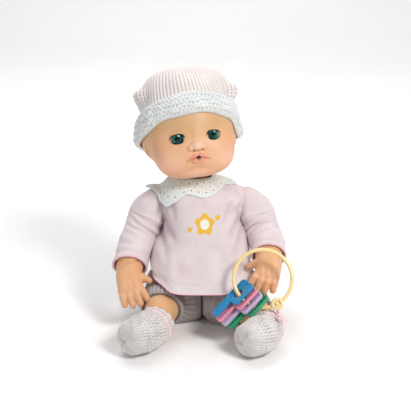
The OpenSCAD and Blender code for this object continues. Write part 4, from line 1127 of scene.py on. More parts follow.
def height_map(clouds):
    """The highest point in each small square of ground, for what has to lie on top."""
    count = int(2 * MAP_HALF / MAP_STEP)
    cells = np.full((count, count), -1e3)
    for cloud in clouds:
        flat = cloud.reshape(-1, 3)
        at = np.clip(((flat[:, :2] + MAP_HALF) / MAP_STEP).astype(int), 0, count - 1)
        np.maximum.at(cells, (at[:, 0], at[:, 1]), flat[:, 2])
    for _ in range(MAP_SOFTEN):
        around = [np.roll(cells, (i, j), (0, 1)) for i in (-1, 0, 1) for j in (-1, 0, 1)]
        highest = np.max(around, axis=0)
        cells = np.where(cells > -1e2, np.mean(np.maximum(around, highest - MAP_STEEP), axis=0), highest)
    return cells


def height_at(cells, x, y):
    """Heights between the middles of the squares of a height map."""
    u = np.clip((x + MAP_HALF) / MAP_STEP - 0.5, 0, len(cells) - 2)
    v = np.clip((y + MAP_HALF) / MAP_STEP - 0.5, 0, len(cells) - 2)
    i, j = u.astype(int), v.astype(int)
    near = mix(cells[i, j], cells[i + 1, j], u - i)
    far = mix(cells[i, j + 1], cells[i + 1, j + 1], u - i)
    return mix(near, far, v - j)


def collar_edge(w):
    places, reaches = np.array(COLLAR_EDGE, float).T
    return sum(np.interp(w + d, places, reaches, period=360) for d in (-3, -1, 1, 3)) / 4


def collar_surface(w, t, ground):
    c, s = cosine(w), sine(w)
    front = np.maximum(-s, 0)
    away = mix(COLLAR_NECK, collar_edge(w), t)
    x = NECK_LEAN + away * c
    y = SEAM_Y + 2 + away * s
    z = COLLAR_Z - COLLAR_HANG * t * t - 6 * t
    z = z + COLLAR_STAND * front * smooth(0.9, 0.0, t)
    under = height_at(ground, x, y) + COLLAR_T + 0.3
    uneven = 0.5 * ripple(np.stack([x, y, z], -1), 41, 26) * t
    z = 0.5 * (z + under + np.sqrt((z - under) ** 2 + 1.0)) + uneven
    return np.stack([x, y, z], -1)


def eyelets(w, t):
    """Small holes worked in the cotton, in rows that run round the neck."""
    hole = np.zeros(np.broadcast(w, t).shape)
    rim = np.zeros_like(hole)
    for row, (place, number) in enumerate(EYELET_ROWS):
        pitch = 360 / number
        off = ((w + row * 0.5 * pitch) / pitch) % 1 - 0.5
        reach = collar_edge(w) - COLLAR_NECK
        across = np.radians(off * pitch) * (COLLAR_NECK + reach * t)
        along = (t - place - 0.03 * sine(w * 7 + 90 * row)) * reach
        d = np.hypot(across, along)
        hole = np.maximum(hole, smooth(EYELET_R + 0.25, EYELET_R - 0.35, d))
        rim = np.maximum(rim, bell(d - EYELET_R - 0.6, 0.4))
    return hole, rim


def collar_points(ground, cols=1080, rows=84):
    w = around(cols)
    t = np.linspace(0, 1, rows)[:, None]
    top = collar_surface(w, t, ground)
    hole, rim = eyelets(w, t)
    edge = smooth(0.95, 0.98, t) + 0 * w
    cord = 0.3 * edge * (0.8 + 0.2 * sine(w * 90))
    top[..., 2] += 0.12 * rim + cord - 0.2 * hole
    low = collar_surface(w, np.array([[1.0], [0.75], [0.5], [0.25], [0.0]]), ground)
    low[..., 2] -= COLLAR_T
    whole = np.concatenate([top, low])
    flat = np.zeros((len(low), cols))
    return whole, np.concatenate([hole, flat]), np.concatenate([np.clip(rim + 0.5 * edge, 0, 1), flat])


def cotton():
    """Crisp woven cotton: a fine grid of threads, eyelets painted dark as the shade seen through their holes,
    and pale worked rims.
    """
    m = material("eyelet_cotton", 0.8, Sheen_Weight=0.15, Specular_IOR_Level=0.25)
    weave = math_node(m, "MULTIPLY", threads(m, 420.0, "X"), threads(m, 420.0, "Y"))
    colour = ramp(m, noise(m, 40.0, 2.0), (0.3, rgb(222, 231, 229)), (0.7, rgb(232, 239, 237)))
    colour = tinted(m, colour, "rim", rgb(252, 252, 252), 0.7)
    # The eyelets are painted shade, standing for holes that are not cut.
    colour = tinted(m, colour, "hole", rgb(128, 112, 110), 0.9)
    link(m, colour, "Base Color")
    bump_from(m, weave, 0.00025, 0.5)
    return m


right_sleeve, left_sleeve = sleeve_clouds
shoulders = height_map([tunic_xyz, left_sleeve] + [raised(right_sleeve, rise) for rise in SLEEVE_RISES])
collar_xyz, collar_hole_shade, collar_rim = collar_points(shoulders)
collar = loft("collar_cotton", collar_xyz, None, inside=True, joined=True)
paint(collar, "hole", collar_hole_shade)
paint(collar, "rim", collar_rim)
dress(collar, cotton(), "cotton", "collar")
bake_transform(collar)
collar_round = np.linspace(0, 360, 361)[None, :]
collar_out = np.linspace(0, 1, 20)[:, None]
collar_plain = collar_surface(collar_round, collar_out, shoulders) * MM


# Arms: rounded forms melted together and turned into one skin, so that the fingers grow out of the palm

FINGER_PLACE = [-9.6, -3.3, 3.0, 9.0]
FINGER_LEN = [18, 20.5, 19, 15]
FINGER_SPLAY = [-0.18, -0.04, 0.06, 0.2]
FINGER_R = 4.4
THUMB_LEN = 18
THUMB_R = (5.0, 4.4, 3.6)
# Places along the arm: where the modelled skin starts inside the sleeve, and the crease of the wrist.
HAND_FROM_S = 5.0
WRIST_S = 6.05
# The hand is turned in from the line of the forearm.
HAND_TURNED_IN = 0.36
SKIN_STEP = 0.7


def capsule(p, a, b, ra, rb):
    """Distance from points to a rounded bar that tapers from a to b."""
    way = b - a
    t = np.clip(((p - a) @ way) / (way @ way), 0, 1)
    return np.linalg.norm(p - a - t[..., None] * way, axis=-1) - mix(ra, rb, t)


def melt(a, b, k):
    """Joins two distances with a soft fillet of about k."""
    h = np.clip(0.5 + 0.5 * (b - a) / k, 0, 1)
    return mix(b, a, h) - k * h * (1 - h)


def finger_line(which):
    """Base, middle and tip of each finger and then of the thumb, with the hand's way along and its back."""
    side = SIDES[which]
    p = [np.array(q, float) for q in ARM_POINTS[which]]
    t = unit(p[8] - p[6])
    t = unit(t - np.array([HAND_TURNED_IN * side, 0, 0]))
    b = unit(np.cross(HAND_BACK, t))
    m = np.cross(t, b)
    inward = b * side
    lines = []
    for place, length, splay in zip(FINGER_PLACE, FINGER_LEN, FINGER_SPLAY):
        base = p[8] - 2 * t - 0.5 * m + inward * place
        mid = base + (t + inward * splay) * length * 0.6
        lines.append((base, mid, mid + (0.85 * t - 0.5 * m + inward * splay) * length * 0.5))
    base = p[8] - 13 * t - m - 9 * inward
    mid = base + (0.35 * t - 0.9 * inward) * THUMB_LEN * 0.6
    lines.append((base, mid, mid + (0.75 * t - 0.55 * inward) * THUMB_LEN * 0.5))
    return lines, t, m


def hand_field(which, q):
    """Below 0 inside the forearm, palm and fingers."""
    lines, t, m = finger_line(which)
    stations = np.linspace(4.6, 8, 9)
    centre = curve(ARM_POINTS[which], stations)
    across = unit(np.cross(HAND_BACK, heading(ARM_POINTS[which], stations)))
    rx, ry = curve(ARM_RX, stations), curve(ARM_RY, stations)
    field = None
    for share in (-1, 0, 1):
        line = centre + across * ((rx - ry) * share)[:, None]
        for i in range(len(stations) - 1):
            d = capsule(q, line[i], line[i + 1], ry[i], ry[i + 1])
            field = d if field is None else melt(field, d, 2.0)
    fingers = None
    for base, mid, tip in lines[:4]:
        d = melt(capsule(q, base, mid, FINGER_R, FINGER_R - 0.1),
                 capsule(q, mid, tip, FINGER_R - 0.1, FINGER_R - 0.7), 1.0)
        fingers = d if fingers is None else melt(fingers, d, 0.5)
    base, mid, tip = lines[4]
    thumb = melt(capsule(q, base, mid, *THUMB_R[:2]), capsule(q, mid, tip, *THUMB_R[1:]), 1.5)
    field = melt(melt(field, fingers, 2.2), thumb, 3.0)
    wrist = (q - curve(ARM_POINTS[which], WRIST_S)) @ t
    field = field + 0.9 * bell(wrist, 1.1) * smooth(6, 2, field)
    for base, mid, tip in lines[:4]:
        knuckle = base + t * 1.5 + m * 5.6
        field = field + 0.5 * bell(np.linalg.norm(q - knuckle, axis=-1), 1.7)
    return field


def polygonise(field, origin, step):
    """A skin of quads where a field on a grid passes through 0: one point in each cell that it crosses."""
    inside = field < 0
    cells = tuple(n - 1 for n in field.shape)
    total = np.zeros(cells + (3,))
    crossings = np.zeros(cells)
    corner = [(i, j, k) for i in (0, 1) for j in (0, 1) for k in (0, 1)]

    def at(a, c):
        return a[c[0]:c[0] + cells[0], c[1]:c[1] + cells[1], c[2]:c[2] + cells[2]]

    for a in corner:
        for axis in range(3):
            if a[axis] == 0:
                b = tuple(1 if i == axis else a[i] for i in range(3))
                fa, fb = at(field, a), at(field, b)
                cut = at(inside, a) != at(inside, b)
                share = np.where(cut, fa / np.where(cut, fa - fb, 1), 0)
                crossings += cut
                for i in range(3):
                    total[..., i] += cut * (a[i] + (share if i == axis else 0))
    used = crossings > 0
    index = np.full(cells, -1)
    index[used] = np.arange(used.sum())
    place = np.argwhere(used) + total[used] / crossings[used][:, None]
    faces = []
    for axis in range(3):
        u, v = (axis + 1) % 3, (axis + 2) % 3
        low = np.take(inside, range(0, field.shape[axis] - 1), axis)
        high = np.take(inside, range(1, field.shape[axis]), axis)
        spots = np.argwhere(low != high)
        spots = spots[(spots[:, u] > 0) & (spots[:, v] > 0)]
        spots = spots[(spots[:, u] < cells[u]) & (spots[:, v] < cells[v])]
        ring = []
        for du, dv in ((-1, -1), (0, -1), (0, 0), (-1, 0)):
            cell = spots.copy()
            cell[:, u] += du
            cell[:, v] += dv
            ring.append(index[cell[:, 0], cell[:, 1], cell[:, 2]])
        quad = np.stack(ring, 1)
        outward = low[tuple(spots.T)] if len(spots) else np.zeros(0, bool)
        faces.append(np.where(outward[:, None], quad, quad[:, ::-1]))
    return origin + place * step, np.concatenate(faces)


def hand_mesh(which):
    lines = finger_line(which)[0]
    start = curve(ARM_POINTS[which], HAND_FROM_S)
    ends = np.array([q for line in lines for q in line] + [start])
    low, high = ends.min(0) - 20, ends.max(0) + 20
    axes = [np.arange(low[i], high[i], SKIN_STEP) for i in range(3)]
    q = np.stack(np.meshgrid(*axes, indexing="ij"), -1)
    points, faces = polygonise(hand_field(which, q), low, SKIN_STEP)
    keep = (points - start) @ heading(ARM_POINTS[which], HAND_FROM_S) > 0
    faces = faces[keep[faces].all(1)]
    points, faces = used_only(points, faces)
    tips = np.array([line[2] for line in lines])
    near_tip = np.linalg.norm(points[:, None] - tips[None], axis=-1).min(1)
    return points, faces, 0.15 + 0.2 * smooth(8, 2, near_tip)


def used_only(points, faces):
    """Leaves out points that no face uses."""
    used = np.unique(faces)
    back = np.full(len(points), -1)
    back[used] = np.arange(len(used))
    return points[used], back[faces]


for which in SIDES:
    hand_xyz, hand_faces, hand_blush = hand_mesh(which)
    hand = make_mesh("hand_" + which, hand_xyz, hand_faces, "arm_" + which)
    paint(hand, "blush", hand_blush)
    dress(hand, skin, "vinyl", "arm_" + which)


# Legs, knitted shorts and booties

LEG_POINTS = {
    "right": [(-38.5, 13, 27), (-38.5, 7, 27), (-38.5, -8, 27), (-40, -28, 27), (-43, -55, 26),
              (-45, -79, 25), (-48, -99, 22), (-53, -115, 21), (-64, -129, 21), (-75, -141, 21)],
    "left": [(38.5, 13, 27), (38.5, 7, 27), (38.5, -8, 27), (41, -28, 27), (47, -55, 26), (56, -80, 23),
             (65, -101, 19.5), (67.5, -117, 19.5), (60, -132, 20), (48, -143, 20)],
}
LEG_R = [8, 17.5, 23, 23, 21, 19, 15, 14.5, 15.5, 12.5]
LEG_ROOT = 21.5
# Names that end in S are places along a leg, counted in its points.
KNEE_S = 4.75
CALF_S = 5.35
ANKLE_S = 6.15
SHORTS_S = 5.0
SHORTS_GROW = 3.1
# The legs of the shorts are full, and fill the gap between the thighs.
SHORTS_PUFF = 26.0
PUFF_S = 3.95
BOOT_S = 6.45
BOOT_GROW = 4.5
TOE_S = 9.0
RIBBON_S = 6.9


def leg_surface(which, s, w, grow, past=0.0):
    """Points round a leg, moved on along it by past. Nothing goes below the floor."""
    s, w, grow, past = np.broadcast_arrays(s, w, grow, past)
    p = LEG_POINTS[which]
    t, b, m = line_frame(p, s, np.array([0, 0, 1.0]))
    r = curve(LEG_R, s) + grow
    c, d = cosine(w), sine(w)
    q = curve(p, s) + t * past[..., None] + b * (r * c)[..., None] + m * (r * d)[..., None]
    q[..., 2] = np.maximum(q[..., 2], 0.05)
    return q


def leg_mesh(which, cols=96, rows=150):
    w = around(cols)
    s = np.linspace(0, TOE_S, rows)[:, None]
    ankle_crease = 0.8 * bell(s - ANKLE_S, 0.09)
    calf_crease = 0.5 * bell(s - CALF_S, 0.10) * (0.5 + 0.5 * cosine(w - 250))
    dimple = 0.9 * bell(s - KNEE_S, 0.18) * bell(apart(w, 90), 16)
    pts = leg_surface(which, s, w, -ankle_crease - calf_crease - dimple)
    leg = loft("leg_skin_" + which, flatten(pts, which, LEG_ROOT), "leg_" + which, (True, True))
    knee_blush = 0.12 * bell(s - 4.8, 0.5) * bell(apart(w, 90), 40)
    paint(leg, "blush", knee_blush + 0.10 * bell(s - 6.2, 0.3))
    dress(leg, skin, "vinyl", "leg_" + which)


SHORTS_COLS = 62
SHORTS_ROWS = 34
BOOT_COLS = 34
BOOT_ROWS = 15
# So many of the rows close the toe, which is this long.
TOE_ROWS = 6
TOE_LONG = 8.0


def shorts_mesh(which, wool):
    cols, rows = SHORTS_COLS * 6, SHORTS_ROWS * 6
    w = around(cols)
    s = np.linspace(0, SHORTS_S, rows)[:, None]
    turned_up = smooth(SHORTS_S - 0.62, SHORTS_S - 0.55, s) * smooth(SHORTS_S + 0.02, SHORTS_S - 0.06, s)
    fine = plain_stitches(w / 360 * SHORTS_COLS, s / SHORTS_S * SHORTS_ROWS)
    rib = 1 - np.abs((w / 360 * SHORTS_COLS) % 2 - 1) ** 1.6 * 0.9 + 0 * s
    stitch = mix(fine, rib, turned_up)
    slack = 0.9 * ripple(leg_surface(which, s, w, SHORTS_GROW), 31 + SIDES[which], 30)
    inner = np.clip(-SIDES[which] * cosine(w), 0, 1) ** 1.5
    puff = SHORTS_PUFF * inner * bell(s - PUFF_S, 0.42) * (1 - turned_up)
    hang = slack * smooth(0.4, 1, s) * (1 - turned_up)
    pts = leg_surface(which, s, w, SHORTS_GROW - 0.4 + 0.7 * stitch + 1.3 * turned_up + hang + puff)
    back = leg_surface(which, np.array([[SHORTS_S], [SHORTS_S - 0.5]]), w, 0.6)
    top = pts[:1] - heading(LEG_POINTS[which], np.zeros(1)) * SHORTS_GROW
    whole = np.concatenate([top, pts, back])
    all_s = np.concatenate([s[:1], s, s[-2:]])
    middle = mix(LEG_ROOT - 3.1, 0.8, smooth(3.3, 3.7, all_s))
    legs = loft("shorts_knit_" + which, flatten(whole, which, middle), "leg_" + which, (True, False))
    paint(legs, "depth", np.concatenate([stitch[:1], stitch, 0.2 * stitch[-2:]]))
    dress(legs, wool, "knit_grey", "shorts_leg_" + which)


def bootie_mesh(which, wool):
    """A chunky sock: its rows run on over the toe to a point, each set round a little, as a swirl."""
    cols = BOOT_COLS * 8
    w = around(cols)
    tube_s = np.linspace(BOOT_S, TOE_S, 118)
    dome = np.linspace(0, math.pi / 2 - 0.02, 62)[1:]
    s = np.concatenate([tube_s, np.full(len(dome), TOE_S)])[:, None]
    close = np.concatenate([np.zeros(len(tube_s)), dome])[:, None]
    tube_rows = BOOT_ROWS - TOE_ROWS
    toe_row = tube_rows + TOE_ROWS * dome / dome[-1]
    row = np.concatenate([np.linspace(0, tube_rows, len(tube_s)), toe_row])[:, None]
    lace = smooth(BOOT_S + 0.28, BOOT_S + 0.05, s)
    base = leg_surface(which, s, w, BOOT_GROW, TOE_LONG * np.sin(close))
    uneven = ripple(base, 51 + SIDES[which], 13)
    swirl = 0.3 * np.maximum(row - BOOT_ROWS + 7, 0)
    loops = purl_stitches(w / 360 * BOOT_COLS + 0.3 * uneven + swirl, row + 0.35 * uneven)
    ridge = 0.5 + 0.5 * np.cos(2 * math.pi * (row + 0.35 * uneven))
    stitch = np.clip(0.62 * loops + 0.3 * ridge + 0.12 * uneven, 0, 1)
    shell = (curve(LEG_R, s) + BOOT_GROW) * np.cos(close) ** 0.8
    knot = 1.4 * bell(close - 1.5, 0.12)
    grow = shell - curve(LEG_R, s) + (2.7 * stitch - 0.8) * np.cos(close) ** 0.5
    grow = grow + lace * (1.6 * np.abs(sine(w * 7)) - 0.2)
    past = TOE_LONG * np.sin(close) + knot + (0.9 * stitch - 0.4) * np.sin(close)
    pts = leg_surface(which, s, w, grow, past)
    hem = leg_surface(which, np.array([[BOOT_S], [BOOT_S + 0.5]]), w, 0.7)
    boot = loft("bootie_knit_" + which, np.concatenate([hem[::-1], pts]), "leg_" + which, (False, True))
    paint(boot, "depth", np.concatenate([0.2 * stitch[:2], mix(stitch, 0.75, 0.3 * lace)]))
    dress(boot, wool, "knit_white", "bootie_" + which)


SEAT_HALF = 17.1
SEAT_FRONT = -38.4
SEAT_BACK = 42.4
SEAT_TOP = 53.2
SEAT_CORNER = 8.0
SEAT_T = 2.0
SEAT_STITCH = 2.2
# The soft bottom behind each thigh, and the round about the hip that it keeps clear of.
BOTTOM_AHEAD = 9.0
BOTTOM_MIDDLE = (31.0, 26.6)
BOTTOM_HALF = 44.0
HIP_AT = (-8.0, 27.0)
BOTTOM_CLEAR = 31.0
BOTTOM_OPEN = 52
WAIST_LOW = 57.5
WAIST_HIGH = 64.0
WAIST_SIZE = (48.3, 59.9, 35.8)
WAIST_T = 2.2
WAIST_RIBS = 72


def seat_line(count):
    """The seat's line down its front, underneath and up its back, with the outward way at each place."""
    a = np.linspace(0, math.pi / 2, 24)
    r = SEAT_CORNER
    front_y, front_z = SEAT_FRONT + r - r * np.cos(a), r - r * np.sin(a)
    back_y, back_z = SEAT_BACK - r + r * np.sin(a), r - r * np.cos(a)
    y = np.concatenate([[SEAT_FRONT], front_y, back_y, [SEAT_BACK]])
    z = np.concatenate([[SEAT_TOP], front_z, back_z, [SEAT_TOP]])
    far = np.concatenate([[0], np.cumsum(np.hypot(np.diff(y), np.diff(z)))])
    even = np.linspace(0, far[-1], count)
    y, z = np.interp(even, far, y), np.interp(even, far, z)
    along = unit(np.stack([np.gradient(y), np.gradient(z)], -1))
    return even, np.stack([0 * y, y, z], -1), np.stack([0 * y, along[:, 1], -along[:, 0]], -1)


def seat_mesh(wool, cols=100, rows=420):
    even, line, out = seat_line(rows)
    x = np.linspace(-SEAT_HALF, SEAT_HALF, cols)
    stitch = plain_stitches(x[None, :] / SEAT_STITCH, even[:, None] / SEAT_STITCH)
    sideways = np.array([1.0, 0, 0]) * x[:, None]
    outer = line[:, None] + sideways + out[:, None] * (0.7 * stitch - 0.75)[..., None]
    inner = line[:, None] + sideways[::-1] - out[:, None] * SEAT_T
    seat = loft("seat_knit", np.concatenate([outer, inner], 1), "torso", (True, True), inside=True)
    paint(seat, "depth", np.concatenate([stitch, 0.3 + 0 * stitch], 1))
    dress(seat, wool, "knit_grey", "shorts_seat")


def bottom_mesh(which, wool, rows=90, cols=150, near=40):
    """One side of the knitted bottom, hollowed in front so that the thigh clears it as it swings down."""
    turned = np.linspace(math.pi / 2, -math.pi / 2, cols)
    wall = HIP_AT[0] + BOTTOM_CLEAR
    start = np.where(turned < 0, wall, BOTTOM_AHEAD)
    hollow = np.radians(np.linspace(0, BOTTOM_OPEN, near))
    back_y = start + (SEAT_BACK - start) * spow(np.cos(turned), 0.6)
    back_z = BOTTOM_MIDDLE[1] * (1 + 0.96 * spow(np.sin(turned), 0.6))
    y = np.concatenate([back_y, HIP_AT[0] + BOTTOM_CLEAR * np.cos(hollow)])
    z = np.concatenate([back_z, HIP_AT[1] + BOTTOM_CLEAR * np.sin(hollow)])
    outside = np.concatenate([np.ones(cols), np.zeros(near)])[None, :]
    far = np.concatenate([[0], np.cumsum(np.hypot(np.diff(y), np.diff(z)))])
    t = np.sin(np.linspace(0, math.pi / 2, rows))[:, None]
    x = mix(SEAT_HALF - 0.6, BOTTOM_HALF, t)
    stitch = plain_stitches(far[None, :] / SEAT_STITCH, x / SEAT_STITCH) * outside
    grow = np.maximum(1 - t ** 3, 0) ** 0.4 * (1 + 0.02 * stitch)
    middle_y, middle_z = BOTTOM_MIDDLE
    pts = np.stack([SIDES[which] * x + 0 * grow, mix(middle_y, y, grow), mix(middle_z, z, grow)], -1)
    bottom = loft("bottom_knit_" + which, pts, "torso", (True, True), inside=SIDES[which] < 0)
    paint(bottom, "depth", stitch + 0.3 * (1 - outside))
    dress(bottom, wool, "knit_grey")


def waistband_mesh(wool, cols=576):
    w = around(cols)
    level = np.array([0, 0.08, 0.5, 0.92, 1, 1, 0])[:, None]
    out = np.array([-0.6, 0, 0, 0, -0.6, -WAIST_T, -WAIST_T])[:, None]
    rib = 0.5 + 0.5 * cosine(w * WAIST_RIBS) + 0 * level
    grow = out + np.where(out > -1, 0.6 * rib - 0.6, 0)
    c, s = spow(cosine(w), 0.8), spow(sine(w), 0.8)
    wide, ahead, behind = WAIST_SIZE
    x = (wide + grow) * c
    y = SEAM_Y + (np.where(s < 0, ahead, behind) + grow) * s
    z = mix(WAIST_LOW, WAIST_HIGH, level) + 0 * x
    band = loft("waistband_knit", np.stack([x, y, z], -1), "torso", joined=True)
    paint(band, "depth", np.where(out > -1, rib, 0.3))
    dress(band, wool, "knit_grey", "shorts_waistband")


grey_wool = knit("wool_shorts", rgb(190, 178, 174), rgb(84, 80, 80), 0.0, 0.6)
white_wool = knit("wool_booties", rgb(232, 227, 223), rgb(118, 110, 107), 0.0, 0.6)
for which in SIDES:
    leg_mesh(which)
    shorts_mesh(which, grey_wool)
    bootie_mesh(which, white_wool)
    bottom_mesh(which, grey_wool)
seat_mesh(grey_wool)
waistband_mesh(grey_wool)


# Ribbons: a satin band round each ankle, tied in a bow on the left one

RIBBON_OUT = 5.0
RIBBON_HALF = 0.10
RIBBON_T = 0.8
BOW_T = 0.5
# A loop of the bow: half its length, half its height and the width of its ribbon.
BOW_LOOP = (5.2, 2.6, 3.4)
BOW_TAIL_WIDE = 3.0
# Where round the left ankle the bow sits, in degrees.
BOW_AT = 50


def satin():
    m = material("satin", 0.38, Sheen_Weight=0.3, Specular_IOR_Level=0.5, Anisotropic=0.5)
    link(m, ramp(m, noise(m, 90.0), (0.3, rgb(240, 196, 204)), (0.7, rgb(252, 222, 226))), "Base Color")
    bump_from(m, threads(m, 700.0, distortion=1.5), 0.0001, 0.4)
    return m


def ribbon_band(which):
    w = around(180)
    across = np.array([-1, -0.6, 0, 0.6, 1, 1, -1])[:, None]
    crown_high = np.array([0, 0.25, 0.3, 0.25, 0])
    high = np.concatenate([RIBBON_T + crown_high, [0, 0]])[:, None]
    s = RIBBON_S + RIBBON_HALF * across + 0.02 * sine(w * 3)
    grow = RIBBON_OUT + high + 0.25 * sine(w * 17)
    band = loft("ribbon_band_" + which, leg_surface(which, s, w, grow), "leg_" + which, joined=True)
    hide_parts("ribbon_" + which)
    return band


def strip(name, path, across, wide, thick, body):
    """A flat ribbon along a path: across is the direction of its width at each point."""
    path = np.asarray(path, float)
    along = unit(np.gradient(path, axis=0))
    across = unit(np.broadcast_to(across, path.shape) - along * (along * across).sum(-1, keepdims=True))
    up = np.cross(along, across)
    section = [(-1, 0.3), (-0.9, 1), (0.9, 1), (1, 0.3), (1, -0.3), (0.9, -1), (-0.9, -1), (-1, -0.3)]
    wide = np.broadcast_to(wide, len(path))[:, None]
    rows = np.stack([path + across * wide / 2 * a + up * thick / 2 * b for a, b in section], 1)
    return loft(name, rows, body, (True, True))


def bow(which, at_w, body):
    """Two loops, two tails and a knot, standing on the band at one place round the ankle."""
    foot = leg_surface(which, RIBBON_S, at_w, RIBBON_OUT + 1.6)
    middle = curve(LEG_POINTS[which], RIBBON_S)
    out = unit(foot - middle)
    down = unit(np.array([0, 0, -1.0]) + out * out[2])
    side = np.cross(out, down)
    pieces = []
    for sign in (-1, 1):
        a = np.linspace(0, 2 * math.pi, 40)
        half_long, half_high, loop_wide = BOW_LOOP
        reach = half_long * (1 - np.cos(a))
        lift = half_high * np.sin(a)
        loop = foot + side * sign * reach[:, None] + (down * 0.35 + out * 0.55) * lift[:, None] + out * 0.8
        pieces.append(strip("bow_loop", loop, down, loop_wide, BOW_T, body))
        b = np.linspace(0, 1, 26)[:, None]
        spread = side * sign * (1.5 + 5.5 * b)
        lift = out * (0.9 + 1.2 * np.sin(3 * b) + 0.5 * b)
        tail = foot + spread + down * (12 + 2 * sign) * b + lift
        pieces.append(strip("bow_tail", tail, side, BOW_TAIL_WIDE, BOW_T, body))
    knot_path = foot + out * 1.2 + down * np.linspace(-1.9, 1.9, 12)[:, None]
    knot_r = 1.5 + 0.5 * np.sin(np.linspace(0, math.pi, 12))
    pieces.append(tube("bow_knot", knot_path, knot_r, body, 14, reference=side))
    return pieces


ribbon_cloth = satin()
for which in SIDES:
    give(ribbon_band(which), ribbon_cloth)
for piece in bow("left", BOW_AT, "leg_left"):
    dress(piece, ribbon_cloth, "ribbon")


# Key ring and keys: shiny moulded plastic with softened edges

RING_CENTRE = np.array([65.82, -94.63, 69.76])
RING_TIP = 32
RING_R = 31.5
WIRE_R = 2.1
LOOP_ANGLE = 298
LOOP_R = 5.0
LOOP_WIRE_R = 1.8
LOOP_RISE = 3.2
KNOB_R = 2.7
EDGE_SOFT = 0.00055


RING_TURN = turn("X", 90 - RING_TIP)


def ring_place(points):
    """From the ring's own flat frame to the doll's."""
    return np.asarray(points) @ RING_TURN.T + RING_CENTRE


def hoop(radius, count):
    a = np.linspace(0, 2 * math.pi, count, endpoint=False)
    return np.stack([radius * np.cos(a), radius * np.sin(a), 0 * a], -1)


def plastic(name, colour, roughness=0.22, coat=0.5):
    """Moulded plastic: a slow change of tone, fine scuffs in its gloss and a faint orange peel."""
    m = material(name, roughness, Coat_Weight=coat, Coat_Roughness=0.12, Specular_IOR_Level=0.5)
    link(m, ramp(m, noise(m, 45.0, 2.0), (0.3, darker(colour, 0.86)), (0.7, colour)), "Base Color")
    scuff = add(m, "ShaderNodeMapRange", {"Value": noise(m, 260.0, 5.0), "To Min": roughness * 0.7,
                                          "To Max": roughness * 1.5})
    link(m, scuff.outputs[0], "Roughness")
    bump_from(m, noise(m, 420.0, 1.0), 0.00012, 0.25)
    return m


def softened(name, node, body):
    """A CAD node's own form again, with its sharp edges rounded over."""
    work = bmesh.new()
    work.from_mesh(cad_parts[node].data)
    bmesh.ops.remove_doubles(work, verts=work.verts, dist=2e-6)
    bmesh.ops.dissolve_limit(work, angle_limit=math.radians(2), verts=work.verts, edges=work.edges)
    sharp = [e for e in work.edges if len(e.link_faces) == 2 and e.calc_face_angle(0) > math.radians(35)]
    bmesh.ops.bevel(work, geom=sharp, offset=EDGE_SOFT, segments=3, profile=0.5, affect="EDGES",
                    clamp_overlap=True)
    bmesh.ops.triangulate(work, faces=[f for f in work.faces if len(f.verts) > 4])
    mesh = bpy.data.meshes.new(name)
    work.to_mesh(mesh)
    work.free()
    mesh.shade_smooth()
    mesh.set_sharp_from_angle(angle=math.radians(40))
    obj = new_object(name, mesh)
    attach(obj, body)
    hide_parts(node)
    return obj


ring_plastic = plastic("ring_plastic", rgb(250, 222, 158), 0.25)
ring_axis = RING_TURN @ (0, 0, 1)
ring_wire = tube("ring_wire", ring_place(hoop(RING_R, 220)), WIRE_R, "key_ring", 24, True, ring_axis)
dress(ring_wire, ring_plastic, "ring_yellow", "key_ring")
loop_at = turn("Z", LOOP_ANGLE) @ (RING_R, 0, LOOP_RISE)
clasp_path = ring_place(hoop(LOOP_R, 90) + loop_at)
clasp = tube("ring_clasp", clasp_path, LOOP_WIRE_R, "key_ring", 20, True, ring_axis)
dress(clasp, ring_plastic, "ring_yellow")
knob_turn = np.linspace(0, math.pi, 24)
knob_line = np.array([0, 0, 1.0]) * (-KNOB_R * np.cos(knob_turn) - 0.6)[:, None]
knob_r = KNOB_R * np.sin(knob_turn) + 0.02
ring_knob = tube("ring_knob", ring_place(loop_at + knob_line), knob_r, "key_ring", 24, reference=(1, 0, 0))
dress(ring_knob, ring_plastic, "ring_yellow")
KEY_COLOURS = {
    "blue": rgb(8, 142, 200),
    "pink": rgb(240, 150, 172),
    "lilac": rgb(206, 186, 222),
    "green": rgb(40, 160, 110),
}
for colour_name, colour in KEY_COLOURS.items():
    key = softened("key_shape_" + colour_name, "key_" + colour_name, "key_" + colour_name)
    dress(key, plastic("key_plastic_" + colour_name, colour), "key_" + colour_name)


# The spring behind the button in the belly, and the surfaces of the nodes that show as they were modelled

def metal(name, colour):
    m = material(name, 0.32, Metallic=1.0)
    link(m, ramp(m, noise(m, 500.0, 4.0), (0.3, darker(colour, 0.8)), (0.7, colour)), "Base Color")
    bump_from(m, noise(m, 900.0), 0.0001, 0.3)
    return m


def circuit(name):
    m = material(name, 0.4, Coat_Weight=0.4)
    where = add(m, "ShaderNodeTexCoord").outputs["Object"]
    cells = add(m, "ShaderNodeTexVoronoi", {"Vector": where, "Scale": 220.0}, feature="DISTANCE_TO_EDGE")
    tracks = cells.outputs["Distance"]
    link(m, ramp(m, tracks, (0.04, rgb(120, 150, 90)), (0.10, rgb(16, 84, 46))), "Base Color")
    bump_from(m, tracks, 0.0001, 0.4)
    return m


SPRING_R = 5.0
SPRING_WIRE = 0.5
SPRING_ENDS = (-40.1, -34.1)
SPRING_Z = 78.0
SPRING_TURNS = 4
steel = metal("steel", (0.62, 0.62, 0.64, 1.0))
spring_w = np.linspace(0, 2 * math.pi * SPRING_TURNS, 40 * SPRING_TURNS)
spring_y = np.linspace(SPRING_ENDS[0], SPRING_ENDS[1], len(spring_w))
spring_path = np.stack([SPRING_R * np.cos(spring_w), spring_y, SPRING_Z + SPRING_R * np.sin(spring_w)], -1)
spring = tube("button_spring_wire", spring_path, SPRING_WIRE, "torso", reference=(0, 1, 0))
give(spring, steel)
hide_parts("button_spring")
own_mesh(spring)

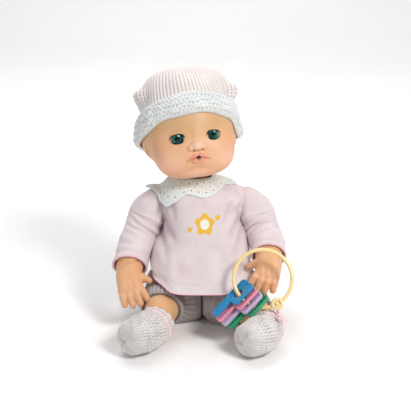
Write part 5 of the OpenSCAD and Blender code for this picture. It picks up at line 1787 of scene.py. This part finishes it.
# Each node that is left gets the surface of what it is made of.
SURFACES = {
    skin: ["neck_plug", "neck_socket", "eyelid_left", "eyelid_right", "torso_front", "torso_back"],
    plastic("frame_plastic", rgb(226, 222, 214), 0.45, 0.0): [
        "hip_frame", "module_frame", "battery_door", "eye_frame", "arm_pin_left", "arm_pin_right",
        "leg_pin_left", "leg_pin_right"],
    plastic("mouth_plastic", rgb(110, 56, 52), 0.5, 0.0): ["mouth_tube"],
    plastic("dark_plastic", rgb(58, 58, 64), 0.5, 0.0): ["battery_box", "speaker", "power_switch"],
    plastic("button_plastic", rgb(240, 238, 236)): ["tummy_button"],
    steel: ["module_screws", "battery_contacts", "door_screw", "eye_axle"],
    plastic("cell_sleeve", rgb(70, 128, 96), 0.35): ["batteries"],
    circuit("circuit_green"): ["circuit_board"],
}
for surface, nodes in SURFACES.items():
    for node in nodes:
        give(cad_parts[node], surface)


# Floor, light and camera

FLOOR_HALF = 3.0
# The floor is flat as far back as this, then bends up with this radius to this height, all in metres.
FLOOR_FLAT = 1.4
FLOOR_BEND = 0.8
FLOOR_TOP = 3.0
# It lies this much under the doll, so that the two surfaces never share a plane.
FLOOR_BELOW = 0.0002
AIM = Vector((0.0, -0.030, 0.130))
CAMERA_AWAY = 1.1
CAMERA_RISE = 20
CAMERA_LENS = 86.0
CAMERA_SHIFT = 0.0085
SENSOR = 36
SKY_COLOUR = (0.92, 0.95, 1.0, 1.0)
SKY_STRENGTH = 0.36


def floor_material():
    m = material("floor_paper", 0.9, Specular_IOR_Level=0.15)
    link(m, ramp(m, noise(m, 3.0), (0.3, rgb(244, 243, 241)), (0.7, rgb(248, 247, 246))), "Base Color")
    bump_from(m, noise(m, 800.0), 0.0001, 0.2)
    return m


def floor_mesh():
    """A sheet that curves up behind, so that no edge shows."""
    ahead = np.linspace(-FLOOR_HALF, FLOOR_FLAT, 30)
    bend = np.linspace(0, math.pi / 2, 24)[1:]
    line_y = np.concatenate([ahead, FLOOR_FLAT + FLOOR_BEND * np.sin(bend), [FLOOR_FLAT + FLOOR_BEND]])
    line_z = np.concatenate([0 * ahead, FLOOR_BEND * (1 - np.cos(bend)), [FLOOR_TOP]])
    x = np.linspace(-FLOOR_HALF, FLOOR_HALF, 12)
    pts = np.stack([x[None, :] + 0 * line_y[:, None], line_y[:, None] + 0 * x, line_z[:, None] + 0 * x], -1)
    pts[..., 2] -= FLOOR_BELOW
    return make_mesh("floor", pts / MM, grid_faces(len(line_y), len(x), wrap=False))


floor = give(floor_mesh(), floor_material())


def lamp(name, place, power, size, colour=(1, 1, 1), aim=AIM):
    """A square lamp at a place in metres, turned towards its aim."""
    data = bpy.data.lights.new(name, "AREA")
    data.energy = power
    data.size = size
    data.color = colour
    obj = new_object(name, data)
    obj.location = place
    obj.rotation_euler = (aim - Vector(place)).to_track_quat("-Z", "Y").to_euler()


lamp("key_lamp", (0.8, -0.9, 1.15), 15.5, 0.42, (1.0, 0.985, 0.965))
lamp("fill_lamp", (-1.1, -1.0, 0.7), 3.4, 1.0, (0.96, 0.98, 1.0))
lamp("top_lamp", (-0.15, 0.5, 1.3), 7.0, 0.9)
lamp("backdrop_lamp", (0.0, 0.9, 1.7), 15.0, 1.4, aim=Vector((0.0, 2.3, 0.5)))
world = bpy.data.worlds.new("studio")
bpy.context.scene.world = world
world.use_nodes = True
world.node_tree.nodes["Background"].inputs["Color"].default_value = SKY_COLOUR
world.node_tree.nodes["Background"].inputs["Strength"].default_value = SKY_STRENGTH

camera_data = bpy.data.cameras.new("camera")
camera_data.lens = CAMERA_LENS
camera_data.sensor_width = SENSOR
camera_data.shift_x = CAMERA_SHIFT
camera = new_object("camera", camera_data)
rise = math.radians(CAMERA_RISE)
camera.location = AIM + CAMERA_AWAY * Vector((0, -math.cos(rise), math.sin(rise)))
camera.rotation_euler = (AIM - camera.location).to_track_quat("-Z", "Y").to_euler()
bpy.context.scene.camera = camera
bpy.context.scene.view_settings.view_transform = "Standard"
